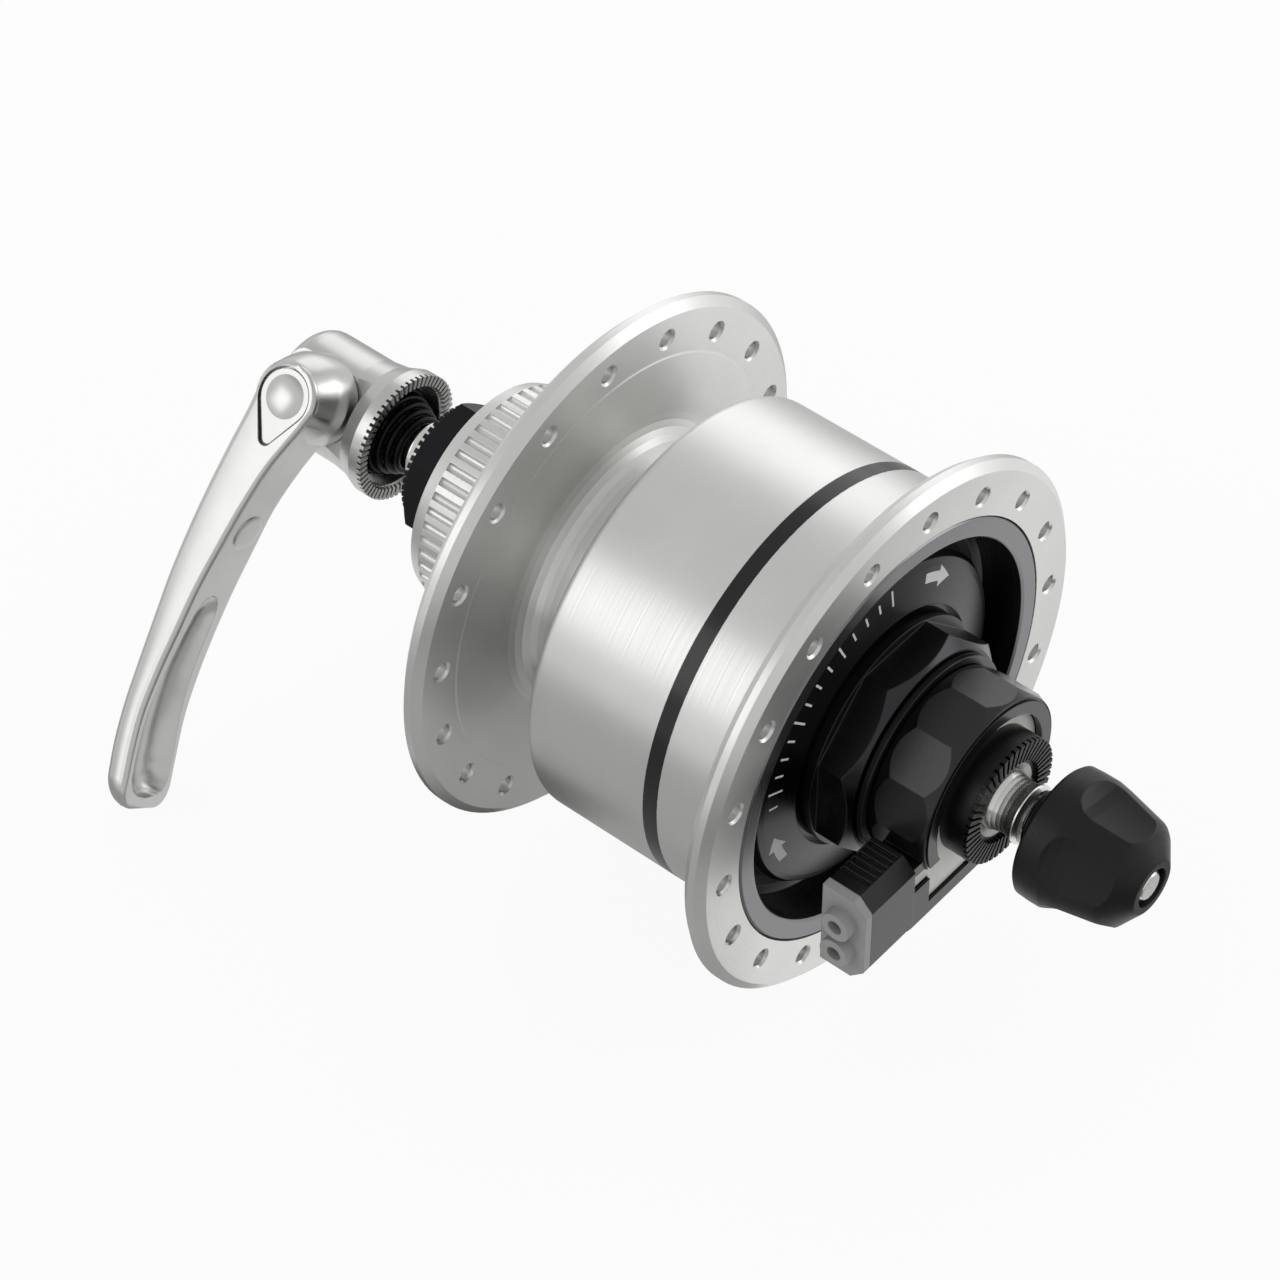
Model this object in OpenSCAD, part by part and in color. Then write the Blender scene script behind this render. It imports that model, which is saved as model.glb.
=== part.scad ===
// Front hub dynamo for rim or disc brakes, with its quick-release skewer.
// Millimetres. The axle lies along Y, the lever is at +Y, the connector at -Y,
// +X is forward, +Z is up, and the origin is midway between the locknut faces.

/* [Axle] */
// Distance over the locknut faces
old_width = 100; // [98:0.5:104]
// Length of axle that stands out of each locknut
stub_len = 4; // [3:0.5:5]
// Diameter of the axle ends
axle_d = 9; // [8.6:0.1:9.4]
// Diameter of the axle under the bearings
seat_d = 12; // [12:0.1:12.4]
// Bore for the quick-release rod
axle_bore_d = 5.5; // [5.4:0.1:6]
// Diameter of the right locknut
locknut_d = 19.1; // [18:0.1:20]
// Width across flats of the left locknut
hex_af = 19; // [18:0.5:20]
// Ribs on a locknut face
locknut_ribs = 48; // [36:2:60]
// Depth of the ribs on a locknut face
rib_depth = 0.6; // [0.3:0.1:0.8]

/* [Shell] */
// Outer diameter of the barrel
barrel_d = 64; // [63:0.1:65]
// Inner face of the barrel's closed end
cavity_end = 5; // [4.5:0.1:5.5]
// Wall of the barrel over the rotor
barrel_wall = 2.4; // [2.2:0.1:2.8]
// Thickness of the barrel's closed end
end_wall = 2.5; // [2:0.1:3.5]
// Outer diameter of the spoke flanges
flange_d = 81; // [80:0.5:86]
// Thickness of a spoke flange
flange_t = 3.3; // [2.8:0.1:3.6]
// Outer face of the right flange, from the middle of the axle
right_flange = 30.1; // [29.6:0.1:30.8]
// Outer face of the left flange, from the middle of the axle
left_flange = 22.6; // [21.5:0.1:23.5]
// Diameter of the circle of spoke holes
spoke_pcd = 71; // [70:0.5:73]
// Diameter of a spoke hole
spoke_hole_d = 2.6; // [2.4:0.1:2.8]
// Spoke holes in each flange
spoke_count = 18; // [14:2:18]
// Diameter of the neck between barrel and left flange
neck_d = 39; // [37:0.5:42]
// Width of the dark band round the barrel
band_w = 2.4; // [1.5:0.1:3.5]
// Middle of the dark band
band_mid = -14.5; // [-18:0.5:-10]
// Outer diameter of the brake disc spline
spline_d = 34.8; // [34.6:0.1:36]
// Teeth of the brake disc spline
spline_teeth = 48; // [40:2:52]
// Depth of the spline grooves
spline_depth = 0.5; // [0.4:0.1:0.6]
// Outer end of the spline boss
boss_end = 41.6; // [40.5:0.1:42.4]
// Thread bore for the lockring
lockring_d = 30; // [29.4:0.1:30.6]

/* [Lid] */
// How far the lid's rim stands past the barrel
lid_lip = 0.3; // [0.1:0.1:0.6]
// Width of the flat rim of the lid
lid_rim_w = 3.3; // [3:0.1:3.6]
// Width of the trough in the lid
trough_w = 3.6; // [3.2:0.1:4]
// Width across flats of the wrench boss
octagon_af = 32; // [31.6:0.1:33]
// Outer end of the wrench boss
octagon_end = 35.6; // [35:0.1:35.8]

/* [Bearings] */
// Outer diameter of a bearing
bearing_d = 28; // [27.6:0.1:28]
// Width of a bearing
bearing_w = 8; // [7.6:0.1:8.4]
// Inner face of the left bearing
left_bearing = 24; // [23.6:0.1:24.4]
// Inner face of the right bearing
right_bearing = 24.5; // [24.3:0.1:24.7]
// Diameter of a ball
ball_d = 4; // [3.6:0.1:4.2]
// Balls in each bearing
ball_count = 8; // [6:1:9]

/* [Generator] */
// Poles of each claw yoke
claw_count = 14; // [10:1:16]
// Radial thickness of the rotor's iron ring
back_iron_t = 2.1; // [1.8:0.1:2.4]
// Thickness of the yoke plates and claws
claw_t = 2; // [1.6:0.1:2.2]
// Axial length of the stator
stator_len = 23; // [21:0.5:23.5]
// Air gap between claws and magnets
air_gap = 0.6; // [0.4:0.1:0.8]
// Radial thickness of the magnets
magnet_t = 3.4; // [3:0.1:3.4]
// Number of magnet arcs
magnet_arcs = 4; // [2:1:8]
// Diameter of the lead from the coil
lead_d = 1.2; // [1:0.1:1.3]

/* [Connector] */
// Width of the terminal housing across its flats
housing_af = 28; // [27:0.2:29]
// Outer face of the terminal housing
housing_end = 46.7; // [46:0.1:47.2]
// Inner face of the terminal housing
housing_start = 37; // [36.9:0.1:37.6]
// Radius of the opening in the housing's face
housing_opening_r = 11.5; // [10.8:0.1:12]
// Depth of the metal plate below the housing's face
plate_depth = 1.1; // [0.8:0.1:1.4]
// Reach of the connector arm from the axle
arm_reach = 16.3; // [15.5:0.1:17]
// Length of the plug along its travel
plug_len = 9.2; // [8.6:0.1:10]
// Height of the plug
plug_h = 15; // [14:0.5:16]
// Thickness of the plug across the axle's direction
plug_t = 7.2; // [6.8:0.1:7.6]
// Chamfer along the plug's outer edges
plug_chamfer = 2.1; // [1.5:0.1:2.4]
// Thickness of the plug's grey cap
cap_t = 1.4; // [1.2:0.1:2]
// Distance between the two wire tubes
wire_pitch = 5.3; // [5:0.1:5.8]
// Outer diameter of a wire tube
tube_d = 4.6; // [4:0.1:4.8]
// Bore of a wire tube
tube_bore_d = 2.2; // [1.8:0.1:2.6]

/* [Quick release] */
// Diameter of the skewer rod
rod_d = 5; // [4.8:0.05:5.1]
// Width of the gap for a fork end on the lever side
left_fork_gap = 7.3; // [6.5:0.1:8]
// Width of the gap for a fork end on the nut side
right_fork_gap = 7.4; // [6.5:0.1:8]
// Distance of the cam axis from the cam ring's face
cam_offset = 11.7; // [11.4:0.1:12.4]
// Radius of the serrated cam ring
cam_ring_r = 9.9; // [9.5:0.1:10.4]
// Radius of the cam housing's barrel
cam_barrel_r = 8.5; // [8.4:0.1:9]
// Ribs on the cam ring
cam_ribs = 60; // [40:2:64]
// Offset of the eccentric, half of the clamping travel
eccentric = 1.25; // [1:0.05:1.3]
// Radius of the cam shaft
cam_shaft_r = 3.9; // [3.8:0.05:4]
// Length of the lever from the cam axis
lever_len = 65.5; // [58:0.5:72]
// Outer face of the lever along the cam axis
lever_face = 16; // [15.5:0.1:17]
// Angle of the closed lever round the axle
lever_turn = 129.2; // [0:0.1:360]
// Length of the nut's grip
nut_len = 15.8; // [15.4:0.1:17]
// Radius of the nut's grip
nut_r = 9.85; // [9.6:0.05:10.6]
// Diameter of the spring wire
spring_wire_d = 1.1; // [0.9:0.05:1.2]
// Curls in each spring
spring_curls = 5; // [3:1:5]

/* [Hidden] */
$fn = 72;

// Clearances: running between bodies, sliding on the rod, seated in one body
run_gap = 0.3;
slide_gap = 0.05;
seat_gap = 0.03;

// Axle stations and radii
half_old = old_width / 2;
axle_end = half_old + stub_len;
axle_r = axle_d / 2;
seat_r = seat_d / 2;
stub_chamfer = 0.5;
waist_depth = 0.5;
waist_half = stub_len / 2;
waist_r = (waist_half * waist_half + waist_depth * waist_depth) / (2 * waist_depth);
waist_mid = half_old + waist_half - 0.7;
waist_lean = asin(waist_half / waist_r);
spacer_r = 8;
left_seat_end = left_bearing + bearing_w - 0.2;
right_seat_end = right_bearing + bearing_w - 0.2;

// Locknuts
left_nut_start = 43;
nut_flange_t = 1.2;
nut_flange_r = 10.7;
hex_turn = 41;
locknut_r = locknut_d / 2;
locknut_dish_r = 6.3;
rib_slot = 0.45;
rib_lean = 10;
rib_inset = 0.1;
plate_t = 0.8;
plate_y = housing_end - plate_depth;
right_nut_start = plate_y;

// Shell outline
barrel_r = barrel_d / 2;
flange_r = flange_d / 2;
cavity_r = barrel_r - barrel_wall;
shell_left = cavity_end + end_wall;
rim_bevel = 1.1;
shoulder_r = 1.5;
neck_r = neck_d / 2;
neck_fillet = 4;
web_r = barrel_r + 0.6;
web_dish = 0.5;
bearing_r = bearing_d / 2;
spline_r = spline_d / 2;
spline_root_r = spline_r - spline_depth - 0.2;
spline_groove_r = 0.65;
lead_in = 2.1;
lead_in_drop = 0.8;
lockring_r = lockring_d / 2;
boss_floor = left_bearing + bearing_w;
core_bore_r = 15;
shoulder_bore_r = 11.6;
bearing_shoulder = 2;
band_t = 0.8;
hole_sink = 0.35;

// Lid
lid_r = barrel_r + lid_lip;
lid_seat_gap = 0.2;
lid_face = right_flange + 0.1;
lid_rim_t = 2;
lid_seat = lid_face - lid_rim_t;
lid_thread_r = cavity_r + 0.6;
lid_inner = 20.5;
lid_wall = 2;
trough_floor = lid_inner + lid_wall;
trough_out_r = lid_r - lid_rim_w;
plateau_r = trough_out_r - trough_w;
trough_in_r = plateau_r + 0.4;
plateau_edge = 27.3;
plateau_top = 28.4;
groove_r = 18.4;
collar_r = 17.5;
collar_end = 30;
lid_seal_r = 11.2;

// Bearing rings
pitch_r = (seat_r + bearing_r) / 2;
ball_r = ball_d / 2;
ball_gap = 0.04;
ring_land = 1.8;
cage_t = 1.2;
cage_w = 5.6;

// Seal and dust cap in the spline boss
seal_gap = 0.1;
seal_t = 1.5;
seal_lip = 2.1;
dust_cap_rim = 1;
dust_cap_rise = 2.2;
dust_cap_len = 4;

// Generator stations, measured towards the lever
stator_left = cavity_end - 1;
stator_right = stator_left - stator_len;
core_r = 10;
rotor_gap = 0.05;
back_iron_r = cavity_r - rotor_gap;
magnet_out_r = back_iron_r - back_iron_t - rotor_gap;
magnet_in_r = magnet_out_r - magnet_t;
claw_r = magnet_in_r - air_gap;
claw_in_r = claw_r - claw_t;
claw_root = 0.52;
claw_tip = 0.26;
claw_end_gap = 1.2;
bobbin_wall = 1;
bobbin_r = claw_in_r - 0.4;
magnet_len = stator_len - 2;
magnet_left = stator_left - 0.6;
arc_gap_deg = 1.5;

// Lead from the coil to the connector, on the -X side of the axle
lead_r = lead_d / 2;
lead_slot = lead_d + 0.4;
lead_coil_r = 11.9;
lead_axle_r = 5.3;
lead_exit_y = -(lid_inner - run_gap);
lead_housing_y = -(housing_start + 2.4);

// Connector: the arm and the plug lie on the -X side
housing_r = housing_af / 2;
housing_corner_r = housing_r / cos(15);
housing_bevel = 2;
arm_front = plate_y + 0.5;
arm_top = -2.9;
arm_bottom = -15.1;
arm_back = -(housing_end - 6.9);
arm_lip = 0.7;
arm_corner = 0.8;
arm_run_out = 6;
arm_rim_end = 1.5;
window_top = -4.8;
window_bottom = -12.7;
window_end = 2.5;
plate_gap = 0.1;
recess_floor = plate_y - plate_t;
rim_groove_r = (housing_r + housing_opening_r) / 2 + 0.7;
rim_groove_w = 0.35;
rim_groove_depth = 0.4;
panel_w = 4.6;
panel_top = -8;
plug_top = 0;
plug_y = -(housing_end + 0.3);
plug_mid_y = plug_y + plug_t / 2 + 0.1;
plug_x = -(arm_reach + 0.05);
plug_end_x = plug_x - plug_len;
grip_ribs = 6;
grip_pitch = 1.15;
grip_len = 4.6;
grip_depth = 0.45;
wire_mid_z = -7.35;
tube_reach = 1.8;
blade_t = 0.8;
blade_w = 2.8;
blade_reach = 5.6;
blade_hold = 5.5;
blade_pocket = 0.3;
pocket_tip = 0.6;
pocket_x = -(arm_reach + blade_reach + pocket_tip);
cap_tongue = 1.6;
lead_blade_x = -(arm_reach - blade_hold + 0.8);
lead_blade_y = plug_mid_y + 0.7;
lead_blade_z = wire_mid_z + wire_pitch / 2 + blade_t / 2 + lead_r;

// Quick release stations
rod_r = rod_d / 2;
cam_face = half_old + left_fork_gap;
cam_y = cam_face + cam_offset;
cam_end = cam_y + 8.2;
spring_room_r = 7.9;
spring_floor = cam_face + 4.2;
cam_flat = 6.5;
cam_flat_start = cam_y - 7.1;
pin_r = cam_shaft_r - eccentric - 0.05;
eye_clear = 0.3;
eye_slot_r = pin_r + eye_clear;
eye_wall = 1.2;
eye_t = 5;
eye_y = cam_y + eccentric;
cam_room_u = eye_slot_r + eye_wall + eccentric + 0.25;
cam_room_t = eye_t / 2 + run_gap;
cam_room_top = eye_y + eye_slot_r + eye_wall + run_gap + 0.05;
cam_ring_t = 2.2;
cam_rib_depth = 0.6;
shaft_back = -6.6;
lever_gap = 0.2;
boss_r = 6.7;
boss_face_r = 5.4;
cap_r = 4.05;
cap_tip_r = 0.9;
cap_tip = 6.4;
cap_depth = 1.5;
cap_gap = 0.3;
cap_sink = 0.45;
cap_dish_r = 3.2;
cap_dish_ball = 9;
scoop_start = 31;
scoop_side = 5.9;
scoop_height = -1.7;
scoop_lean = 2.5;

// Nut stations
nut_face = -(half_old + right_fork_gap);
nut_end = nut_face - nut_len;
nut_room_r = 7.6;
nut_room = 4.6;
insert_r = 4.4;
insert_end = nut_end + 1.4;
nut_hole_r = 3;
flute_count = 5;
flute_r = 24;
flute_round = 6;
flute_floor = 7.85;
flute_tilt = 8;
flute_start = 10.3;
nut_taper = 1.65;
nut_cone = 3.5;
nut_ring_r = 4.4;
flute_turn = -6.7;

// Springs: mean radii at the narrow and the wide end
spring_narrow_r = 3.9;
left_spring_wide_r = 6.9;
right_spring_wide_r = 6.5;
spring_r = spring_wire_d / 2;
rings_per_curl = 16;
spring_sides = 8;

// Stands a shape drawn along Z on the axle, so that its Z runs along +Y
module on_axle() {
    rotate([-90, 0, 0]) children();
}

// Solid of revolution round the axle from points of radius and axle station
module turned(profile) {
    on_axle() rotate_extrude() polygon(profile);
}

// Plain ring between two axle stations
module ring(inner, outer, from, to) {
    turned([[inner, from], [outer, from], [outer, to], [inner, to]]);
}

// Flat shape drawn in X and Z, given thickness between two axle stations
module slab(from, to) {
    translate([0, to, 0]) rotate([90, 0, 0]) linear_extrude(to - from) children();
}

// Copies spread evenly round a local Z axis
module around(count, start = 0) {
    for (i = [0 : count - 1]) rotate([0, 0, start + i * 360 / count]) children();
}

// Ring with radial ribs, drawn flat; slant leans the slots
module ribbed_ring(inner, outer, count, slot, slant = 0) {
    difference() {
        circle(outer);
        circle(inner);
        around(count) translate([(inner + outer) / 2, 0]) rotate([0, 0, slant])
            square([2 * (outer - inner), slot], center = true);
    }
}

// Quarter arc of points for a profile, from one angle to another
function arc(cx, cy, r, from, to, steps = 6) =
    [for (i = [0 : steps]) let (a = from + (to - from) * i / steps) [cx + r * cos(a), cy + r * sin(a)]];

// The axle is hollow, with seats for the bearings and a groove for the lead
module axle() {
    color("silver") difference() {
        turned(concat([[axle_bore_d / 2, -axle_end], [axle_r - stub_chamfer, -axle_end],
                [axle_r, -axle_end + stub_chamfer]],
            arc(axle_r + waist_r - waist_depth, -waist_mid, waist_r, 180 + waist_lean,
                180 - waist_lean),
            [[axle_r, -right_seat_end], [seat_r, -right_seat_end],
                [seat_r, left_seat_end], [axle_r, left_seat_end]],
            arc(axle_r + waist_r - waist_depth, waist_mid, waist_r, 180 + waist_lean,
                180 - waist_lean),
            [[axle_r, axle_end - stub_chamfer], [axle_r - stub_chamfer, axle_end], [axle_bore_d / 2, axle_end]]));
        translate([-seat_r - 1, -right_seat_end - 1, -lead_slot / 2])
            cube([seat_r + 1 - lead_axle_r + lead_r + 0.1, right_seat_end + 1 + lead_exit_y + lead_r + 0.1,
                lead_slot]);
    }
}

// Left locknut: a hexagon on a thin flange, with a ribbed clamping face
module left_locknut() {
    hex_end = half_old - rib_depth;
    corner_r = hex_af / 2 / cos(30);
    face_r = hex_af / 2 - 0.3;
    lean = corner_r - face_r - 0.1;
    color([0.1, 0.1, 0.1]) difference() {
        union() {
            ring(axle_r, nut_flange_r, left_nut_start, left_nut_start + nut_flange_t);
            intersection() {
                on_axle() translate([0, 0, left_nut_start + nut_flange_t / 2])
                    rotate([0, 0, hex_turn]) cylinder(r = corner_r, h = hex_end - left_nut_start - nut_flange_t / 2,
                        $fn = 6);
                turned([[0, left_nut_start], [corner_r + lean, left_nut_start], [corner_r + lean, hex_end - 2],
                    [face_r + 0.1, hex_end], [face_r + 0.1, hex_end + 1], [0, hex_end + 1]]);
            }
            on_axle() translate([0, 0, hex_end - 0.1]) linear_extrude(rib_depth + 0.1)
                ribbed_ring(locknut_dish_r, face_r, locknut_ribs, rib_slot);
        }
        on_axle() translate([0, 0, left_nut_start - 1]) cylinder(r = axle_r + seat_gap, h = 20);
        turned([[0, half_old - 1.4], [axle_r, half_old - 1.4], [locknut_dish_r, half_old],
            [locknut_dish_r, half_old + 1], [0, half_old + 1]]);
    }
}

// Right locknut: round, with slanted ribs on its clamping face
module right_locknut() {
    rib_start = -(half_old - rib_depth);
    color([0.12, 0.12, 0.12]) difference() {
        union() {
            ring(axle_r, locknut_r, rib_start, -right_nut_start);
            on_axle() translate([0, 0, -half_old]) linear_extrude(rib_depth + 0.1)
                ribbed_ring(locknut_dish_r, locknut_r - rib_inset, locknut_ribs, rib_slot, rib_lean);
        }
        on_axle() translate([0, 0, -half_old - 1]) cylinder(r = axle_r + seat_gap, h = 20);
        turned([[0, -half_old - 1], [locknut_dish_r, -half_old - 1], [locknut_dish_r, -half_old],
            [axle_r, -half_old + 1.4], [0, -half_old + 1.4]]);
    }
}

// Sleeves that carry the clamping load past the bearings
module left_spacer() {
    color("dimgray") ring(axle_r + seat_gap, spacer_r, left_bearing + bearing_w, left_nut_start);
}

module right_spacer() {
    color("dimgray") difference() {
        ring(axle_r + seat_gap, spacer_r, -housing_start, -(right_bearing + bearing_w));
        translate([-(lead_axle_r + lead_r + 0.2), -housing_start - 1, -lead_slot / 2])
            cube([3, housing_start - right_bearing, lead_slot]);
    }
}

module left_core_spacer() {
    color("silver") ring(seat_r + seat_gap, spacer_r, stator_left, left_bearing);
}

module right_core_spacer() {
    color("silver") difference() {
        ring(seat_r + seat_gap, spacer_r, -right_bearing, stator_right);
        translate([-spacer_r - 1, lead_exit_y - lead_slot / 2 - 10, -lead_slot / 2])
            cube([spacer_r, lead_slot + 10.2, lead_slot]);
    }
}

// Dished cover that closes the spline boss behind the left locknut
module left_dust_cap() {
    rim_r = lockring_r - 0.6;
    rim_y = boss_floor + seal_lip + run_gap;
    hub_r = spacer_r + 2;
    color([0.08, 0.08, 0.08]) turned([[spacer_r + seat_gap, rim_y], [rim_r, rim_y],
        [rim_r, rim_y + dust_cap_rim], [hub_r, rim_y + dust_cap_rise], [hub_r, rim_y + dust_cap_len],
        [spacer_r + seat_gap, rim_y + dust_cap_len]]);
}

// Washer in the gap between the turning lid and the terminal housing
module dust_washer() {
    color([0.1, 0.1, 0.1]) ring(spacer_r + seat_gap, 15, -housing_start + 0.2, -(octagon_end + run_gap));
}

// One bearing: its rings have grooves for the balls
module bearing_inner(from) {
    difference() {
        ring(seat_r, seat_r + ring_land + 0.4, from, from + bearing_w);
        ball_track(from);
    }
}

module bearing_outer(from) {
    difference() {
        ring(bearing_r - ring_land - 0.4, bearing_r, from, from + bearing_w);
        ball_track(from);
    }
}

module ball_track(from) {
    on_axle() translate([0, 0, from + bearing_w / 2]) rotate_extrude()
        translate([pitch_r, 0]) circle(ball_r + ball_gap);
}

module ball_row(from, radius) {
    on_axle() translate([0, 0, from + bearing_w / 2])
        around(ball_count) translate([pitch_r, 0, 0]) sphere(radius);
}

module bearing_cage(from) {
    difference() {
        ring(pitch_r - cage_t / 2, pitch_r + cage_t / 2, from + (bearing_w - cage_w) / 2,
            from + (bearing_w + cage_w) / 2);
        on_axle() translate([0, 0, from + bearing_w / 2]) around(ball_count)
            rotate([0, 90, 0]) cylinder(r = ball_r + 2 * ball_gap, h = bearing_r);
    }
}

module left_bearing_inner() {
    color("lightsteelblue") bearing_inner(left_bearing);
}

module left_bearing_outer() {
    color("lightsteelblue") bearing_outer(left_bearing);
}

module left_bearing_balls() {
    color("white") ball_row(left_bearing, ball_r);
}

module left_bearing_cage() {
    color("goldenrod") bearing_cage(left_bearing);
}

module right_bearing_inner() {
    color("lightsteelblue") bearing_inner(-(right_bearing + bearing_w));
}

module right_bearing_outer() {
    color("lightsteelblue") bearing_outer(-(right_bearing + bearing_w));
}

module right_bearing_balls() {
    color("white") ball_row(-(right_bearing + bearing_w), ball_r);
}

module right_bearing_cage() {
    color("goldenrod") bearing_cage(-(right_bearing + bearing_w));
}

// Rubber rings that turn with the shell and run close to the spacers
module left_seal() {
    start = boss_floor + seal_gap;
    lip_r = spacer_r + seal_gap;
    color([0.15, 0.1, 0.08]) turned([[lip_r, start], [bearing_r, start], [bearing_r, start + seal_t],
        [lip_r + 1.1, start + seal_t], [lip_r, boss_floor + seal_lip]]);
}

module lid_seal() {
    start = right_bearing + bearing_w + 0.2;
    color([0.15, 0.1, 0.08]) turned([[spacer_r + 0.1, -start], [lid_seal_r - seat_gap, -start],
        [lid_seal_r - seat_gap, -start - 2.4], [spacer_r + 1, -start - 2.4], [spacer_r + 0.1, -start - 1.4]]);
}

// Iron core on the axle
module core_sleeve() {
    color("gray") ring(seat_r + seat_gap, core_r, stator_right, stator_left);
}

// Claw yoke drawn with its plate at station 0 and its tapered claws along +Z
module claw_yoke(turn) {
    claw_end = stator_len - claw_end_gap;
    pitch = PI * claw_r / claw_count;
    root_gap = pitch * (1 - claw_root);
    tip_gap = pitch * (1 - claw_tip);
    kink = claw_t + 0.3;
    past_tip = tip_gap + (tip_gap - root_gap) / (claw_end - kink);
    difference() {
        rotate_extrude() polygon([[core_r + seat_gap, 0], [claw_r, 0], [claw_r, claw_end],
            [claw_in_r, claw_end], [claw_in_r, claw_t], [core_r + seat_gap, claw_t]]);
        around(claw_count, turn + 180 / claw_count) rotate([90, 0, 90]) translate([0, 0, bobbin_r])
            linear_extrude(claw_t + 4) polygon([[-root_gap, -1], [root_gap, -1], [root_gap, kink],
                [past_tip, claw_end + 1], [-past_tip, claw_end + 1], [-root_gap, kink]]);
    }
}

module left_claw_yoke() {
    color("slategray") translate([0, stator_left, 0]) rotate([90, 0, 0]) claw_yoke(0);
}

module right_claw_yoke() {
    color("slategray") difference() {
        translate([0, stator_right, 0]) on_axle() claw_yoke(180 / claw_count);
        translate([-lead_coil_r - lead_slot / 2, stator_right - 1, -lead_slot / 2])
            cube([lead_slot, claw_t + 2, lead_slot]);
    }
}

// Spool of the coil, between the yoke plates
module coil_bobbin() {
    from = stator_right + claw_t;
    to = stator_left - claw_t;
    tube_r = core_r + seat_gap + bobbin_wall;
    color("ivory") difference() {
        turned([[core_r + seat_gap, from], [bobbin_r, from], [bobbin_r, from + bobbin_wall],
            [tube_r, from + bobbin_wall], [tube_r, to - bobbin_wall], [bobbin_r, to - bobbin_wall],
            [bobbin_r, to], [core_r + seat_gap, to]]);
        translate([-lead_coil_r - lead_slot / 2, from - 1, -lead_slot / 2])
            cube([lead_slot, bobbin_wall + 1, lead_slot]);
    }
}

module coil_winding() {
    inner = core_r + seat_gap + bobbin_wall;
    color("chocolate") ring(inner + seat_gap, bobbin_r - 0.5, stator_right + claw_t + bobbin_wall + seat_gap,
        stator_left - claw_t - bobbin_wall - seat_gap);
}

// Lead from the coil, through the yoke, along the axle groove and out to the blade
lead_route = [
    [-lead_coil_r, stator_right + claw_t + bobbin_wall, 0],
    [-lead_coil_r, lead_exit_y, 0],
    [-lead_axle_r, lead_exit_y, 0],
    [-lead_axle_r, lead_housing_y, 0],
    [lead_blade_x, lead_housing_y, 0],
    [lead_blade_x, lead_blade_y, 0],
    [lead_blade_x, lead_blade_y, lead_blade_z],
];

module tube_between(a, b, r) {
    d = b - a;
    length = norm(d);
    translate(a) rotate([0, acos(d[2] / length), atan2(d[1], d[0])]) cylinder(r = r, h = length);
}

module lead_along(points, r) {
    for (i = [0 : len(points) - 2]) tube_between(points[i], points[i + 1], r);
    for (i = [1 : len(points) - 2]) translate(points[i]) sphere(r);
}

module lead_wire() {
    color("firebrick") lead_along(lead_route, lead_r);
}

// Outline of the arm that reaches from the axle to the plug; it runs out into the twelve flats
module arm_outline(bottom) {
    polygon([[-arm_reach, arm_top], [-arm_reach, bottom + arm_corner], [-arm_reach + arm_corner, bottom],
        [0, bottom], [arm_run_out, -housing_r + 1.6], [0, arm_top]]);
}

// Outline of the recess in the housing's face, or less a gap that of the plate in it
module recess_outline(gap, reach) {
    circle(housing_opening_r - gap);
    translate([-(arm_reach - panel_w) + gap, window_bottom + 2 * gap])
        square([arm_reach - panel_w - window_end - 2 * gap, window_top - window_bottom - 3 * gap]);
    translate([-reach, panel_top + 3 * gap]) square([reach - window_end - gap, window_top - panel_top - 4 * gap]);
}

// Black terminal housing: twelve flats round the axle and the connector arm
module terminal_housing() {
    front = -housing_end;
    back = -housing_start;
    rim_r = housing_r - 0.25;
    bevel_lean = (housing_corner_r - rim_r) / housing_bevel;
    color([0.1, 0.1, 0.1]) difference() {
        union() {
            intersection() {
                on_axle() translate([0, 0, front]) rotate([0, 0, 2])
                    cylinder(r = housing_corner_r, h = housing_end - housing_start, $fn = 12);
                turned([[0, front - 1], [rim_r - bevel_lean, front - 1],
                    [rim_r + bevel_lean * (back - front) / 2, (front + back) / 2],
                    [rim_r - bevel_lean, back + 1], [0, back + 1]]);
            }
            slab(-arm_front, arm_back) arm_outline(arm_bottom);
            slab(-arm_front + 0.4, arm_back) arm_outline(arm_bottom - arm_lip);
        }
        // Bore on the axle and slot for the lead
        on_axle() translate([0, 0, front - 1]) cylinder(r = axle_r + seat_gap, h = 20);
        translate([-lead_axle_r - lead_r - 0.2, lead_housing_y - lead_slot / 2, -lead_slot / 2])
            cube([3, 10, lead_slot]);
        translate([lead_blade_x - lead_slot / 2, lead_housing_y - lead_slot / 2, -lead_slot / 2])
            cube([-lead_blade_x, lead_slot, lead_slot]);
        translate([lead_blade_x - lead_slot / 2, lead_blade_y - lead_slot / 2, -lead_slot / 2])
            cube([lead_slot, lead_housing_y - lead_blade_y + lead_slot, lead_slot]);
        translate([lead_blade_x - lead_slot / 2, lead_blade_y - lead_slot / 2, lead_blade_z - lead_r])
            cube([lead_slot, lead_slot, lead_r + lead_slot / 2 - lead_blade_z]);
        // Lower face along the arm, recess for the plate, and the fine groove round the rim
        slab(front - 1, -arm_front) translate([-arm_reach - 1, arm_bottom - 2])
            square([arm_reach + 1 - arm_rim_end, window_top - arm_bottom + 2]);
        slab(front - 1, -recess_floor) recess_outline(0, arm_reach + 1);
        ring(rim_groove_r, rim_groove_r + rim_groove_w, front - 1, front + rim_groove_depth);
        // Slots for the contact blades
        for (s = [-1, 1]) blade(s, seat_gap);
    }
}

// Metal plate that lies in the housing's recess under the locknut
module terminal_plate() {
    color("gainsboro") slab(-plate_y, -recess_floor) difference() {
        recess_outline(plate_gap, arm_reach);
        circle(axle_r + seat_gap);
    }
}

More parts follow.
